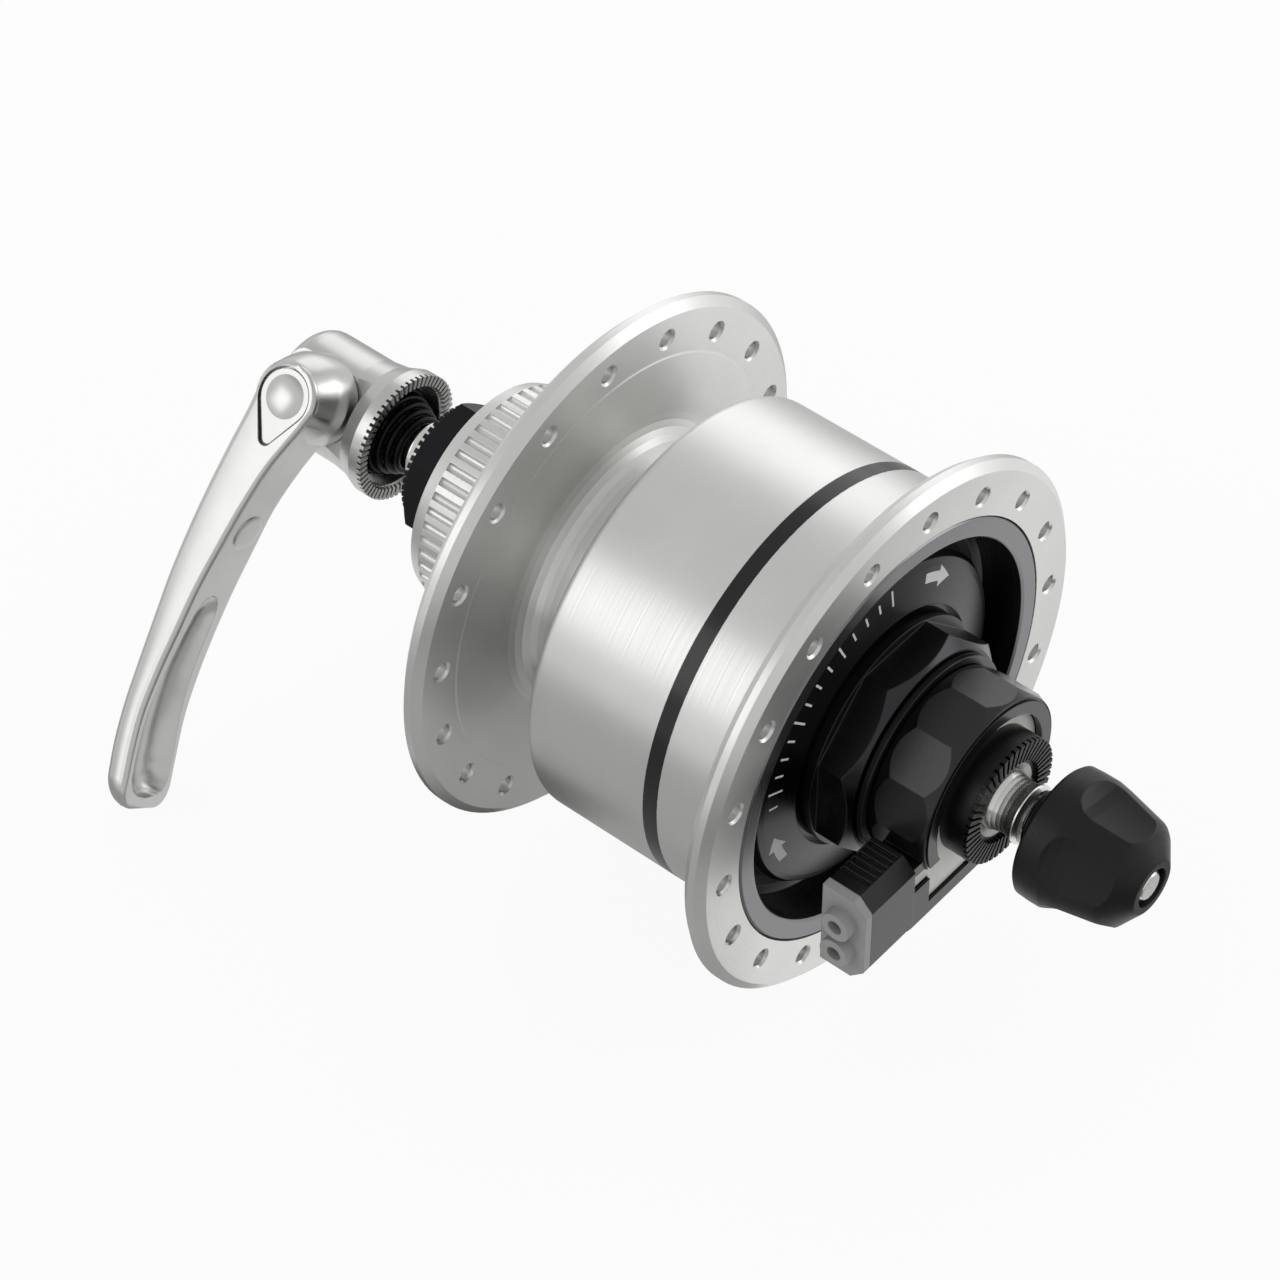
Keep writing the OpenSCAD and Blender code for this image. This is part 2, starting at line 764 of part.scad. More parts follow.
// One contact blade; side is -1 for the lower and 1 for the upper one
module blade(side, gap, tip = 0) {
    translate([-(arm_reach + blade_reach + tip), plug_mid_y - blade_w / 2 - gap,
            wire_mid_z + side * wire_pitch / 2 - blade_t / 2 - gap])
        cube([tip + blade_reach + blade_hold, blade_w + 2 * gap, blade_t + 2 * gap]);
}

module contact_blades() {
    color("gold") for (s = [-1, 1]) blade(s, 0);
}

// Outline of the shell's outside, from the right flange to the spline boss
shell_outside = concat(
    [[lid_r + lid_seat_gap, -right_flange], [flange_r - 1.3, -right_flange],
        [flange_r, -right_flange + rim_bevel], [flange_r, -right_flange + flange_t - rim_bevel],
        [flange_r - 0.9, -right_flange + flange_t]],
    arc(barrel_r + 1.2, -right_flange + flange_t + 1.2, 1.2, 270, 180),
    arc(barrel_r - shoulder_r, shell_left - shoulder_r, shoulder_r, 0, 90),
    arc(neck_r + neck_fillet, shell_left + neck_fillet, neck_fillet, 270, 180),
    arc(neck_r + neck_fillet, left_flange - flange_t - web_dish - neck_fillet, neck_fillet, 180, 90),
    [[web_r - 0.3, left_flange - flange_t - 0.1], [web_r, left_flange - flange_t],
        [flange_r - 1.3, left_flange - flange_t], [flange_r, left_flange - flange_t + rim_bevel],
        [flange_r, left_flange - rim_bevel], [flange_r - 1.3, left_flange]],
    arc(spline_r + 3, left_flange + 2, 2, 270, 180),
    [[spline_r + 1, left_flange + 2.6], [spline_root_r, left_flange + 2.6],
        [spline_root_r, boss_end - 0.4], [spline_root_r - 0.4, boss_end]]);

// Outline of the shell's inside, back from the spline boss to the lid's seat
shell_inside = [
    [lockring_r, boss_end], [lockring_r, boss_floor], [bearing_r, boss_floor], [bearing_r, left_bearing],
    [shoulder_bore_r, left_bearing], [shoulder_bore_r, left_bearing - bearing_shoulder],
    [core_bore_r, left_bearing - bearing_shoulder], [core_bore_r, cavity_end], [cavity_r, cavity_end],
    [cavity_r, -lid_inner + 0.5], [lid_thread_r, -lid_inner + 0.5], [lid_thread_r, -lid_seat],
    [lid_r + lid_seat_gap, -lid_seat]];

// Holes for the spokes, sunk a little at both faces of a flange
module spoke_holes(outer_face, start) {
    hole_r = spoke_hole_d / 2;
    wide_r = hole_r + hole_sink;
    on_axle() translate([0, 0, outer_face]) around(spoke_count, start) translate([spoke_pcd / 2, 0, 0])
        rotate_extrude() polygon([[0, -0.1], [wide_r, -0.1], [wide_r, 0], [hole_r, hole_sink],
            [hole_r, flange_t - hole_sink], [wide_r, flange_t], [wide_r, flange_t + 0.1], [0, flange_t + 0.1]]);
}

// Aluminium shell: barrel, both spoke flanges, neck and brake disc spline
module hub_shell() {
    spline_from = left_flange + 2.6;
    color("lightgray") difference() {
        union() {
            turned(concat(shell_outside, shell_inside));
            on_axle() translate([0, 0, spline_from]) linear_extrude(boss_end - lead_in - spline_from)
                difference() {
                    circle(spline_r);
                    circle(lockring_r + 1);
                    around(spline_teeth) translate([spline_r - spline_depth + spline_groove_r, 0])
                        circle(spline_groove_r, $fn = 12);
                }
            turned([[lockring_r + 1, boss_end - lead_in], [spline_r, boss_end - lead_in],
                [spline_r - lead_in_drop, boss_end], [lockring_r + 1, boss_end]]);
        }
        ring(barrel_r - band_t, barrel_r + 1, band_mid - band_w / 2, band_mid + band_w / 2);
        spoke_holes(-right_flange, 0);
        spoke_holes(left_flange - flange_t, 180 / spoke_count);
    }
}

module shell_band() {
    color([0.05, 0.05, 0.05]) ring(barrel_r - band_t, barrel_r, band_mid - band_w / 2, band_mid + band_w / 2);
}

// Black lid that screws into the shell, with a trough, a raised ring and a wrench boss
module end_lid() {
    bearing_face = right_bearing + bearing_w;
    octagon_r = octagon_af / 2 / cos(22.5);
    color([0.12, 0.12, 0.12]) difference() {
        union() {
            turned([[lid_r, -lid_seat], [lid_r, -lid_face + 0.3], [lid_r - 0.3, -lid_face],
                [trough_out_r + 0.5, -lid_face], [trough_out_r + 0.2, -lid_face + 0.3],
                [trough_out_r, -trough_floor - 0.9], [trough_out_r - 0.8, -trough_floor],
                [trough_in_r + 0.7, -trough_floor], [trough_in_r, -trough_floor - 0.7],
                [plateau_r, -plateau_edge + 1.2], [plateau_r - 0.6, -plateau_edge + 0.3],
                [plateau_r - 1.6, -plateau_edge], [groove_r, -plateau_top],
                [groove_r, -plateau_edge], [collar_r, -plateau_edge], [collar_r, -collar_end],
                [lid_seal_r, -collar_end], [lid_seal_r, -bearing_face], [bearing_r, -bearing_face],
                [bearing_r, -right_bearing], [bearing_r + lid_wall + 0.8, -right_bearing],
                [bearing_r + lid_wall + 1.2, -plateau_edge + lid_wall], [plateau_r - lid_wall, -plateau_edge + lid_wall],
                [plateau_r - lid_wall + 0.4, -lid_inner], [lid_thread_r - rotor_gap, -lid_inner],
                [lid_thread_r - rotor_gap, -lid_seat]]);
            intersection() {
                on_axle() translate([0, 0, -octagon_end]) rotate([0, 0, 22.5])
                    cylinder(r = octagon_r, h = octagon_end - collar_end + 0.5, $fn = 8);
                turned([[0, -collar_end + 0.5], [collar_r, -collar_end + 0.5], [collar_r, -octagon_end + 1.9],
                    [octagon_af / 2 - 0.5, -octagon_end], [0, -octagon_end]]);
            }
        }
        on_axle() translate([0, 0, -octagon_end - 1])
            cylinder(r = lid_seal_r, h = octagon_end + 1 - bearing_face);
        on_axle() translate([0, 0, -bearing_face]) cylinder(r = bearing_r, h = bearing_w);
    }
}

// Rotor: iron ring in the shell with magnet arcs on its inside
module back_iron() {
    color("dimgray") ring(magnet_out_r + rotor_gap, back_iron_r, magnet_left - magnet_len, magnet_left);
}

module magnet_arcs() {
    sector = 360 / magnet_arcs - arc_gap_deg;
    color([0.25, 0.25, 0.28]) translate([0, magnet_left - magnet_len, 0]) on_axle()
        around(magnet_arcs, arc_gap_deg / 2) rotate_extrude(angle = sector)
            translate([magnet_in_r, 0]) square([magnet_t, magnet_len]);
}

// Places a shape by the lever: X along the lever, Y along the cam axis, Z outwards
module lever_frame() {
    translate([0, cam_y, 0]) on_axle() rotate([0, 0, lever_turn]) children();
}

// Cylinder along the cam axis
module along_cam(r, from, to) {
    translate([0, from, 0]) rotate([-90, 0, 0]) cylinder(r = r, h = to - from);
}

// Stadium with its long side across the lever's cam axis
module stadium(r, reach) {
    for (s = [-1, 1]) translate([s * reach, 0]) circle(r);
    square([2 * reach, 2 * r], center = true);
}

// Skewer rod with a slotted eye round the eccentric
module skewer_rod() {
    rod_end = nut_end + 0.2;
    color("silver") {
        turned([[0, rod_end], [rod_r - 0.6, rod_end], [rod_r, rod_end + 0.6], [rod_r, eye_y - eye_slot_r - 0.5],
            [0, eye_y - eye_slot_r - 0.5]]);
        lever_frame() translate([0, eye_t / 2, eccentric]) rotate([90, 0, 0]) linear_extrude(eye_t) difference() {
            stadium(eye_slot_r + eye_wall, eccentric);
            stadium(eye_slot_r, eccentric);
        }
    }
}

// Cam housing: serrated ring towards the fork, rounded end, cross bore for the cam shaft
module cam_body() {
    color("silver") difference() {
        union() {
            turned(concat([[0, cam_face + cam_rib_depth], [cam_ring_r, cam_face + cam_rib_depth],
                    [cam_ring_r, cam_face + cam_ring_t], [cam_barrel_r + 0.4, cam_face + cam_ring_t + 2.6],
                    [cam_barrel_r, cam_y - 4]],
                arc(cam_barrel_r - 3, cam_end - 3, 3, 0, 90), [[0, cam_end]]));
            on_axle() translate([0, 0, cam_face]) linear_extrude(cam_rib_depth + 0.1)
                ribbed_ring(spring_room_r, cam_ring_r, cam_ribs, rib_slot);
        }
        // Room for the spring, flared to the ribs
        turned([[0, cam_face - 1], [spring_room_r + 0.4, cam_face - 1], [spring_room_r + 0.4, cam_face],
            [spring_room_r, cam_face + 0.8], [spring_room_r, spring_floor], [0, spring_floor]]);
        lever_frame() {
            // Room for the eye, which moves along the axle as the lever swings
            translate([-cam_room_u, -cam_room_t, spring_floor - 1 - cam_y])
                cube([2 * cam_room_u, 2 * cam_room_t, cam_room_top - spring_floor + 1]);
            along_cam(cam_shaft_r + slide_gap, shaft_back - 0.2, 2 * cam_barrel_r);
            translate([-20, cam_flat, cam_flat_start - cam_y]) cube([40, 20, 40]);
        }
    }
}

// Places along the lever: distance, outer and inner surface, near and far side
lever_shape = [
    [-1, 5.6, -5.0, 7.4, 15.4],
    [5, 6.3, -4.7, 7.0, 15.9],
    [10, 6.6, -3.8, 6.9, 16.0],
    [17, 6.6, -2.3, 5.6, 16.0],
    [28, 6.1, -0.8, 4.7, 16.0],
    [42, 5.0, -0.8, 4.3, 16.0],
    [52, 4.1, -1.1, 4.1, 16.0],
    [58, 3.2, -1.6, 4.2, 15.9],
    [62, 1.9, -2.2, 4.8, 15.4],
];
lever_tip = [63.6, 0.9, -2.0, 6.2, 14.2];

// Thumb scoop: half width and distance from its start
scoop_len = 32;
scoop_shape = [[1.4, 0.8], [2.4, 4], [3.2, 9], [4, 16], [4.6, 22], [4.9, 26], [4.6, 29], [3.6, 31], [2.1, 31.8]];

// Facets round the lever, and steps between its stations
lever_sides = 40;
lever_steps = 4;
lever_square = 6.5;

// Smooth curve through four neighbours
function curve(a, b, c, d, t) =
    0.5 * (2 * b + (c - a) * t + (2 * a - 5 * b + 4 * c - d) * t * t + (3 * b - a - 3 * c + d) * t * t * t);
function near(list, i) = list[max(0, min(len(list) - 1, i))];
function smooth_stations(list, steps) = concat(
    [for (i = [0 : len(list) - 2], k = [0 : steps - 1])
        curve(near(list, i - 1), near(list, i), near(list, i + 1), near(list, i + 2), k / steps)],
    [list[len(list) - 1]]);

// Rounded rectangle of a station, as a superellipse in the plane across the lever
function soften(x, n) = sign(x) * pow(abs(x), 2 / n);
function lever_ring(s) = [for (i = [0 : lever_sides - 1]) let (a = -360 * i / lever_sides) [
    s[0] * lever_len / 64,
    ((s[3] + s[4]) + (s[4] - s[3]) * soften(cos(a), lever_square)) / 2 + lever_face - 16,
    ((s[1] + s[2]) + (s[1] - s[2]) * soften(sin(a), lever_square)) / 2]];

// Closed skin over a row of rings with the same number of points, in triangles
module skin(rings) {
    n = len(rings[0]);
    last = len(rings) - 1;
    points = concat([for (r = rings) each r]);
    sides = [for (j = [0 : last - 1], i = [0 : n - 1]) let (a = j * n + i, b = j * n + (i + 1) % n)
        each [[a, b, a + n], [b, b + n, a + n]]];
    start = [for (i = [1 : n - 2]) [0, i + 1, i]];
    end = [for (i = [1 : n - 2]) [last * n, last * n + i, last * n + i + 1]];
    polyhedron(points, concat(sides, start, end));
}

// Drop outline: a round end drawn out to a small tip
module drop(r, tip_r, tip) {
    lean = acos((r - tip_r) / tip);
    polygon(concat(arc(0, 0, r, lean, 360 - lean, 28), arc(tip, 0, tip_r, -lean, lean, 8)));
}

module drop_plate(r, tip_r, from, to) {
    translate([0, to, 0]) rotate([90, 0, 0]) linear_extrude(to - from) drop(r, tip_r, cap_tip);
}

// Curved lever with its boss, a pocket for the drop-shaped cap and a thumb scoop
module lever() {
    face = lever_face;
    scoop = concat([[0, 0]], smooth_stations(scoop_shape, 3), [[0, scoop_len]]);
    color("silver") lever_frame() difference() {
        union() {
            skin([for (s = concat(smooth_stations(lever_shape, lever_steps), [lever_tip])) lever_ring(s)]);
            rotate([-90, 0, 0]) rotate_extrude() polygon([[0, cam_flat + lever_gap],
                [boss_r - 0.3, cam_flat + lever_gap], [boss_r, cam_flat + lever_gap + 0.3],
                [boss_r, cam_flat + 4], [boss_face_r, face - 1], [boss_face_r - 0.6, face - 0.2],
                [boss_face_r - 1.4, face], [0, face]]);
        }
        along_cam(cam_shaft_r + seat_gap, 0, face - cap_depth + 0.1);
        drop_plate(cap_r + cap_gap, cap_tip_r + cap_gap, face - cap_depth, face + 1);
        translate([scoop_start * lever_len / 64, face - scoop_side, scoop_height]) rotate([0, 90 + scoop_lean, 0])
            rotate_extrude() polygon(scoop);
    }
}

// Cam shaft: two journals, the eccentric between them and a drop-shaped dished head
module cam_shaft() {
    face = lever_face;
    color("gainsboro") lever_frame() {
        along_cam(cam_shaft_r, shaft_back, -cam_room_t + 0.1);
        translate([0, 0, eccentric]) along_cam(pin_r, -cam_room_t, cam_room_t);
        along_cam(cam_shaft_r, cam_room_t - 0.1, face - cap_depth);
        difference() {
            drop_plate(cap_r, cap_tip_r, face - cap_depth, face - cap_sink);
            translate([0, face - cap_sink + sqrt(cap_dish_ball * cap_dish_ball - cap_dish_r * cap_dish_r), 0])
                sphere(cap_dish_ball);
        }
    }
}

// Points along a cone-shaped coil, from the narrow end to the wide one
function coil_points(from, to, wide) = let (n = spring_curls * rings_per_curl)
    [for (i = [0 : n]) let (t = i / n, r = spring_narrow_r + (wide - spring_narrow_r) * t, a = 360 * i / rings_per_curl)
        [r * cos(a), from + (to - from) * t, r * sin(a)]];
function coil_rings(from, to, wide) = let (points = coil_points(from, to, wide))
    [for (i = [0 : len(points) - 1]) let (a = 360 * i / rings_per_curl, turn = to > from ? 1 : -1)
        [for (k = [0 : spring_sides - 1]) let (b = -turn * 360 * k / spring_sides) points[i] + spring_r *
            [cos(b) * cos(a), sin(b), cos(b) * sin(a)]]];

// Least free distance between two curls of a coil
function least_gap(points) = min([for (i = [0 : len(points) - 1], j = [i + rings_per_curl / 2 : len(points) - 1])
    norm(points[i] - points[j])]) - 2 * spring_r;

left_spring_from = axle_end + spring_r + 0.3;
left_spring_to = spring_floor - spring_r - 0.05;
right_spring_from = -axle_end - spring_r - 0.3;
right_spring_to = nut_face - nut_room + spring_r + 0.05;
echo(left_spring_gap = least_gap(coil_points(left_spring_from, left_spring_to, left_spring_wide_r)),
    right_spring_gap = least_gap(coil_points(right_spring_from, right_spring_to, right_spring_wide_r)));

module left_spring() {
    color([0.08, 0.08, 0.08]) skin(coil_rings(left_spring_from, left_spring_to, left_spring_wide_r));
}

module right_spring() {
    color([0.08, 0.08, 0.08]) skin(coil_rings(right_spring_from, right_spring_to, right_spring_wide_r));
}

// Black grip of the nut: round at the fork, five flutes towards its rounded end
module nut_grip() {
    color([0.13, 0.13, 0.13]) difference() {
        turned([[nut_room_r, nut_face], [nut_r - 0.5, nut_face], [nut_r - 0.1, nut_face - 0.4],
                [nut_r, nut_face - 2], [nut_r, nut_face - 4.4], [nut_r - 0.3, nut_face - 6.2],
                [nut_r - nut_taper, nut_end + nut_cone], [nut_r - nut_taper - 0.3, nut_end + nut_cone - 0.6],
                [nut_r - nut_taper - 0.9, nut_end + nut_cone - 1.2], [nut_ring_r, nut_end + 0.2],
                [nut_ring_r - 0.3, nut_end], [nut_hole_r, nut_end], [nut_hole_r, nut_face - nut_room],
                [nut_room_r, nut_face - nut_room]]);
        on_axle() translate([0, 0, insert_end]) cylinder(r = insert_r + seat_gap, h = nut_len);
        on_axle() around(flute_count, flute_turn) translate([flute_floor + flute_r, 0, nut_face - flute_start])
            rotate([0, 180 + flute_tilt, 0]) rotate_extrude() polygon(concat([[0, -flute_round]],
                arc(flute_r - flute_round, 0, flute_round, -90, 0), [[flute_r, nut_len], [0, nut_len]]));
    }
}

// Threaded metal insert inside the grip
module nut_insert() {
    color("silver") ring(rod_r + slide_gap, insert_r, insert_end, nut_face - nut_room);
}

// Outline of the plug across its travel, with two chamfered outer edges
module plug_outline() {
    c = plug_chamfer;
    y0 = plug_y;
    y1 = plug_y + plug_t;
    polygon([[y0 + c, plug_top], [y0, plug_top - c], [y0, plug_top - plug_h + c], [y0 + c, plug_top - plug_h],
        [y1, plug_top - plug_h], [y1, plug_top]]);
}

// Gives an outline drawn in Y and Z a thickness along X
module across(from, to) {
    translate([from, 0, 0]) rotate([90, 0, 90]) linear_extrude(to - from) children();
}

// Plug that pulls off the contact blades
module plug_body() {
    color([0.12, 0.12, 0.12]) difference() {
        across(plug_end_x, plug_x) plug_outline();
        for (s = [-1, 1]) {
            blade(s, blade_pocket, pocket_tip);
            translate([plug_end_x - 1, plug_mid_y, wire_mid_z + s * wire_pitch / 2]) rotate([0, 90, 0])
                cylinder(d = tube_bore_d, h = pocket_x + 0.1 - plug_end_x + 1);
        }
        across(plug_end_x - 1, plug_end_x + cap_tongue) cap_tongue_outline(seat_gap);
        for (i = [0 : grip_ribs - 1])
            translate([plug_x - 1.4 - i * grip_pitch, plug_y + plug_chamfer + 0.3, plug_top - grip_depth])
                cube([grip_pitch / 2, grip_len, 2]);
    }
}

// Tongue by which the cap plugs into the end of the plug
module cap_tongue_outline(gap) {
    translate([plug_mid_y, wire_mid_z]) square([tube_bore_d + 1.4 + 2 * gap, wire_pitch + 4 + 2 * gap],
        center = true);
}

// Grey cap with two tubes for the wires
module plug_cap() {
    out = plug_end_x - cap_t;
    color("gray") difference() {
        union() {
            across(out, plug_end_x) plug_outline();
            across(plug_end_x - 0.1, plug_end_x + cap_tongue - 0.1) cap_tongue_outline(0);
            for (s = [-1, 1]) translate([out - tube_reach, plug_mid_y, wire_mid_z + s * wire_pitch / 2])
                rotate([0, 90, 0]) cylinder(d = tube_d, h = tube_reach + 0.1);
        }
        for (s = [-1, 1]) translate([out - tube_reach - 1, plug_mid_y, wire_mid_z + s * wire_pitch / 2])
            rotate([0, 90, 0]) cylinder(d = tube_bore_d, h = tube_reach + cap_t + cap_tongue + 2);
    }
}

axle();
left_locknut();
right_locknut();
left_spacer();
right_spacer();
left_dust_cap();
dust_washer();
left_core_spacer();
right_core_spacer();
left_bearing_inner();
right_bearing_inner();
left_bearing_balls();
right_bearing_balls();
left_bearing_cage();
right_bearing_cage();
core_sleeve();
left_claw_yoke();
right_claw_yoke();
coil_bobbin();
coil_winding();
lead_wire();
terminal_housing();
terminal_plate();
contact_blades();
hub_shell();
shell_band();
end_lid();
back_iron();
magnet_arcs();
left_bearing_outer();
right_bearing_outer();
left_seal();
lid_seal();
skewer_rod();
cam_body();
left_spring();
lever();
cam_shaft();
nut_grip();
nut_insert();
right_spring();
plug_body();
plug_cap();
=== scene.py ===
# %% [markdown]
# A front hub with a generator inside, dressed for a product picture.
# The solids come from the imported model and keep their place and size. This lesson gives each of
# them a finish, winds the two springs again as smooth wire, makes the lever again as a smooth
# forging, prints a few plain marks, and builds a small photo studio round the hub. Lengths are
# written in millimetres, as on a drawing, and MM turns them into Blender's metres.

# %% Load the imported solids
import math

import bpy
import numpy as np
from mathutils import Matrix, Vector


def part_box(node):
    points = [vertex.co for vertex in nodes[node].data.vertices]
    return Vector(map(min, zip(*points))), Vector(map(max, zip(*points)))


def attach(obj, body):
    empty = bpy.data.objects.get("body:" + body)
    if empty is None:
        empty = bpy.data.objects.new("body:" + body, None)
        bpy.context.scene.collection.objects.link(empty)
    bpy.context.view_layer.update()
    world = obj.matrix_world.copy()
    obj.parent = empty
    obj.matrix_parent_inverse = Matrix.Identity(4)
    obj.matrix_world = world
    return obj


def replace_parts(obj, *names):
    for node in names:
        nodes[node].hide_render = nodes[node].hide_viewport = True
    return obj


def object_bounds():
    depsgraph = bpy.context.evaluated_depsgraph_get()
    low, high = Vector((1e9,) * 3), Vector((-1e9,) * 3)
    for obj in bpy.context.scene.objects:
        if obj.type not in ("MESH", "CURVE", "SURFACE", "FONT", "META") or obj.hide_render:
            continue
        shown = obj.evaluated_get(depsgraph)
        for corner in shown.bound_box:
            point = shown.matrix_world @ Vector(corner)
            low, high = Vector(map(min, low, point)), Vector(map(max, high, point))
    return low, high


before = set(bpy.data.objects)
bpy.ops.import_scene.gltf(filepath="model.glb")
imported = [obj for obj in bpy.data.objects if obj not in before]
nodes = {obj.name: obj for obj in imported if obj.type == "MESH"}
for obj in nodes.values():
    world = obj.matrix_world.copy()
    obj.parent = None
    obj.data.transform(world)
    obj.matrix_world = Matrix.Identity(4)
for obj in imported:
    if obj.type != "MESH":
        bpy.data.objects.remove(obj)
cad_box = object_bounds()
scene = bpy.context.scene
MM = 0.001
FULL_TURN = 2 * math.pi

# %% [markdown]
# The camera. A long lens from a little under 0.7 m looks down on the connector end at a slant. A
# camera could be moved about until the view looks right. This one's place was worked out from the
# rows of spoke holes and the hub's round edges, so that the outlines fall where a photograph has
# them. Blender's cameras look along their own -Z, and to_track_quat turns that towards the hub.

# %% Camera
camera_place = Vector((-356.037, -284.223, 482.202)) * MM
camera_turn = math.radians(-50.056)
camera_height = math.radians(46.799)
picture_width_pixels = 1280
focal_length_pixels = 4838.148
sensor_width = 36.0
nearest_seen = 10 * MM

camera_data = bpy.data.cameras.new("camera")
camera_data.sensor_width = sensor_width
camera_data.lens = focal_length_pixels / picture_width_pixels * sensor_width
camera_data.clip_start = nearest_seen
camera = bpy.data.objects.new("camera", camera_data)
scene.collection.objects.link(camera)
scene.camera = camera
towards_camera = Vector((
    math.sin(camera_turn) * math.cos(camera_height),
    -math.cos(camera_turn) * math.cos(camera_height),
    math.sin(camera_height)))
camera.location = camera_place
camera.rotation_mode = "QUATERNION"
camera.rotation_quaternion = (-towards_camera).to_track_quat("-Z", "Y")
scene.view_settings.view_transform = "Standard"
print("lens", round(camera_data.lens, 1), "mm")

# %% [markdown]
# Three helpers serve every finish. Colours are written as the hex values that a screen shows, and
# Blender mixes light in linear numbers, so one function converts them. The next adds a shader node,
# sets its options, and gives each input a number or a link. The last starts a material.

# %% Colour and node helpers
def linear(hex_colour):
    """Screen colour to linear: c / 12.92 below 0.04045, else ((c + 0.055) / 1.055) to the power 2.4."""
    c = np.array([int(hex_colour[i:i + 2], 16) for i in (1, 3, 5)]) / 255
    rgb = np.where(c <= 0.04045, c / 12.92, ((c + 0.055) / 1.055) ** 2.4)
    return (*rgb.tolist(), 1.0)


def add(tree, kind, inputs=None, **options):
    """Adds one node: options are its settings, and inputs are numbers or sockets to link from."""
    node = tree.nodes.new(kind)
    for name, value in options.items():
        setattr(node, name, value)
    for name, value in (inputs or {}).items():
        if isinstance(value, bpy.types.NodeSocket):
            tree.links.new(value, node.inputs[name])
        else:
            node.inputs[name].default_value = value
    return node


def start_material(name, colour, **numbers):
    """A material with one Principled shader, whose constant numbers sit on the shader's own sockets."""
    made = bpy.data.materials.new(name)
    made.use_nodes = True
    tree = made.node_tree
    shader = tree.nodes["Principled BSDF"]
    shader.inputs["Base Color"].default_value = linear(colour)
    for socket, value in numbers.items():
        shader.inputs[socket.replace("_", " ")].default_value = value
    return made, tree, shader


print("black is", linear("#000000")[:3], "and white is", linear("#FFFFFF")[:3])

# %% [markdown]
# Three patterns come back in several finishes. A lathe leaves rings: on a barrel they follow each
# other along the axle, on a flange face from the middle outwards. The sum of the place along the
# axle and the distance from it grows across both, so one row of noise along that sum draws all the
# rings. Ground metal and moulded plastic have an even grain instead. And some pieces change finish
# at a step: the lid's rim is paler than its face, and the dish of a locknut is bare steel where the
# fork end rubs it. The distance from the axle tells which finish a point has. All three read Object
# coordinates, so a size in millimetres can be set directly, without a picture or a UV map.

# %% Shared patterns
def axle_distance(tree, place):
    """Distance from the axle, sqrt(x * x + z * z), of a place in Object coordinates."""
    across = add(tree, "ShaderNodeVectorMath", {0: place, 1: (1, 0, 1)}, operation="MULTIPLY")
    radius = add(tree, "ShaderNodeVectorMath", {0: across.outputs[0]}, operation="LENGTH")
    return radius.outputs["Value"]


def turning_rings(tree, pitch_mm):
    """Noise along y + sqrt(x * x + z * z), one step for each pitch: the rings that a lathe leaves."""
    place = add(tree, "ShaderNodeTexCoord").outputs["Object"]
    along = add(tree, "ShaderNodeSeparateXYZ", {0: place}).outputs["Y"]
    summed = add(tree, "ShaderNodeMath", {0: along, 1: axle_distance(tree, place)}, operation="ADD")
    rings = add(tree, "ShaderNodeTexNoise",
                {"W": summed.outputs[0], "Scale": 1 / (pitch_mm * MM), "Detail": 2.0},
                noise_dimensions="1D")
    return rings.outputs["Fac"]


def grain(tree, size_mm):
    """Even noise whose specks are about this size."""
    place = add(tree, "ShaderNodeTexCoord").outputs["Object"]
    specks = add(tree, "ShaderNodeTexNoise",
                 {"Vector": place, "Scale": 1 / (size_mm * MM), "Detail": 3.0})
    return specks.outputs["Fac"]


def beyond(tree, radius_mm):
    """1 where sqrt(x * x + z * z) is larger than this radius, and 0 inside it."""
    place = add(tree, "ShaderNodeTexCoord").outputs["Object"]
    outside = add(tree, "ShaderNodeMath",
                  {0: axle_distance(tree, place), 1: radius_mm * MM}, operation="GREATER_THAN")
    return outside.outputs[0]


print("patterns: turning rings, even grain, and a step at a radius")

# %% [markdown]
# A pattern is a number for each point, and it can steer the roughness, the relief or the colour.
# Real edges are never sharp. Modelled bevels would cost many faces, so a Bevel node rounds the light
# on them instead, by a tenth of a millimetre or so.

# %% What a pattern steers
MIX_FIRST, MIX_SECOND, MIX_RESULT = 6, 7, 2  # the Mix node's sockets for colours
NOISE_LOW, NOISE_HIGH = 0.3, 0.7


def spread(tree, factor, low, high):
    """Turns a noise factor, which mostly lies between two values, into a number from low to high."""
    ranged = add(tree, "ShaderNodeMapRange",
                 {"Value": factor, "From Min": NOISE_LOW, "From Max": NOISE_HIGH,
                  "To Min": low, "To Max": high})
    return ranged.outputs["Result"]


def relief(tree, shader, factor, height_mm, edge_mm):
    """Bump of this height over softened edges of this radius, on the shader's normal."""
    edge = add(tree, "ShaderNodeBevel", {"Radius": edge_mm * MM}, samples=6)
    bump = add(tree, "ShaderNodeBump",
               {"Height": factor, "Distance": height_mm * MM, "Strength": 1.0,
                "Normal": edge.outputs[0]})
    tree.links.new(bump.outputs[0], shader.inputs["Normal"])


def two_shades(tree, shader, factor, first, second):
    """Base colour between two shades: the first where the factor is 0, the second where it is 1."""
    mix = add(tree, "ShaderNodeMix",
              {"Factor": factor, MIX_FIRST: linear(first), MIX_SECOND: linear(second)},
              data_type="RGBA")
    tree.links.new(mix.outputs[MIX_RESULT], shader.inputs["Base Color"])


print("noise is spread from", NOISE_LOW, "to", NOISE_HIGH)

# %% [markdown]
# The shell is forged aluminium, turned all over and bead blasted lightly, then clear anodised.
# Turning spreads a highlight across the rings, so flat flanges show bright fans and dark ones. Fans
# that are painted on would stay put when the light moves. The shader's anisotropy makes true ones,
# once its tangent runs round the axle and is given a quarter turn, from along the rings to across
# them. Real tool marks lie closer than a quarter of a millimetre; they are drawn that coarse so
# that they show at all.

# %% Turned metals
ACROSS_THE_RINGS = 0.25


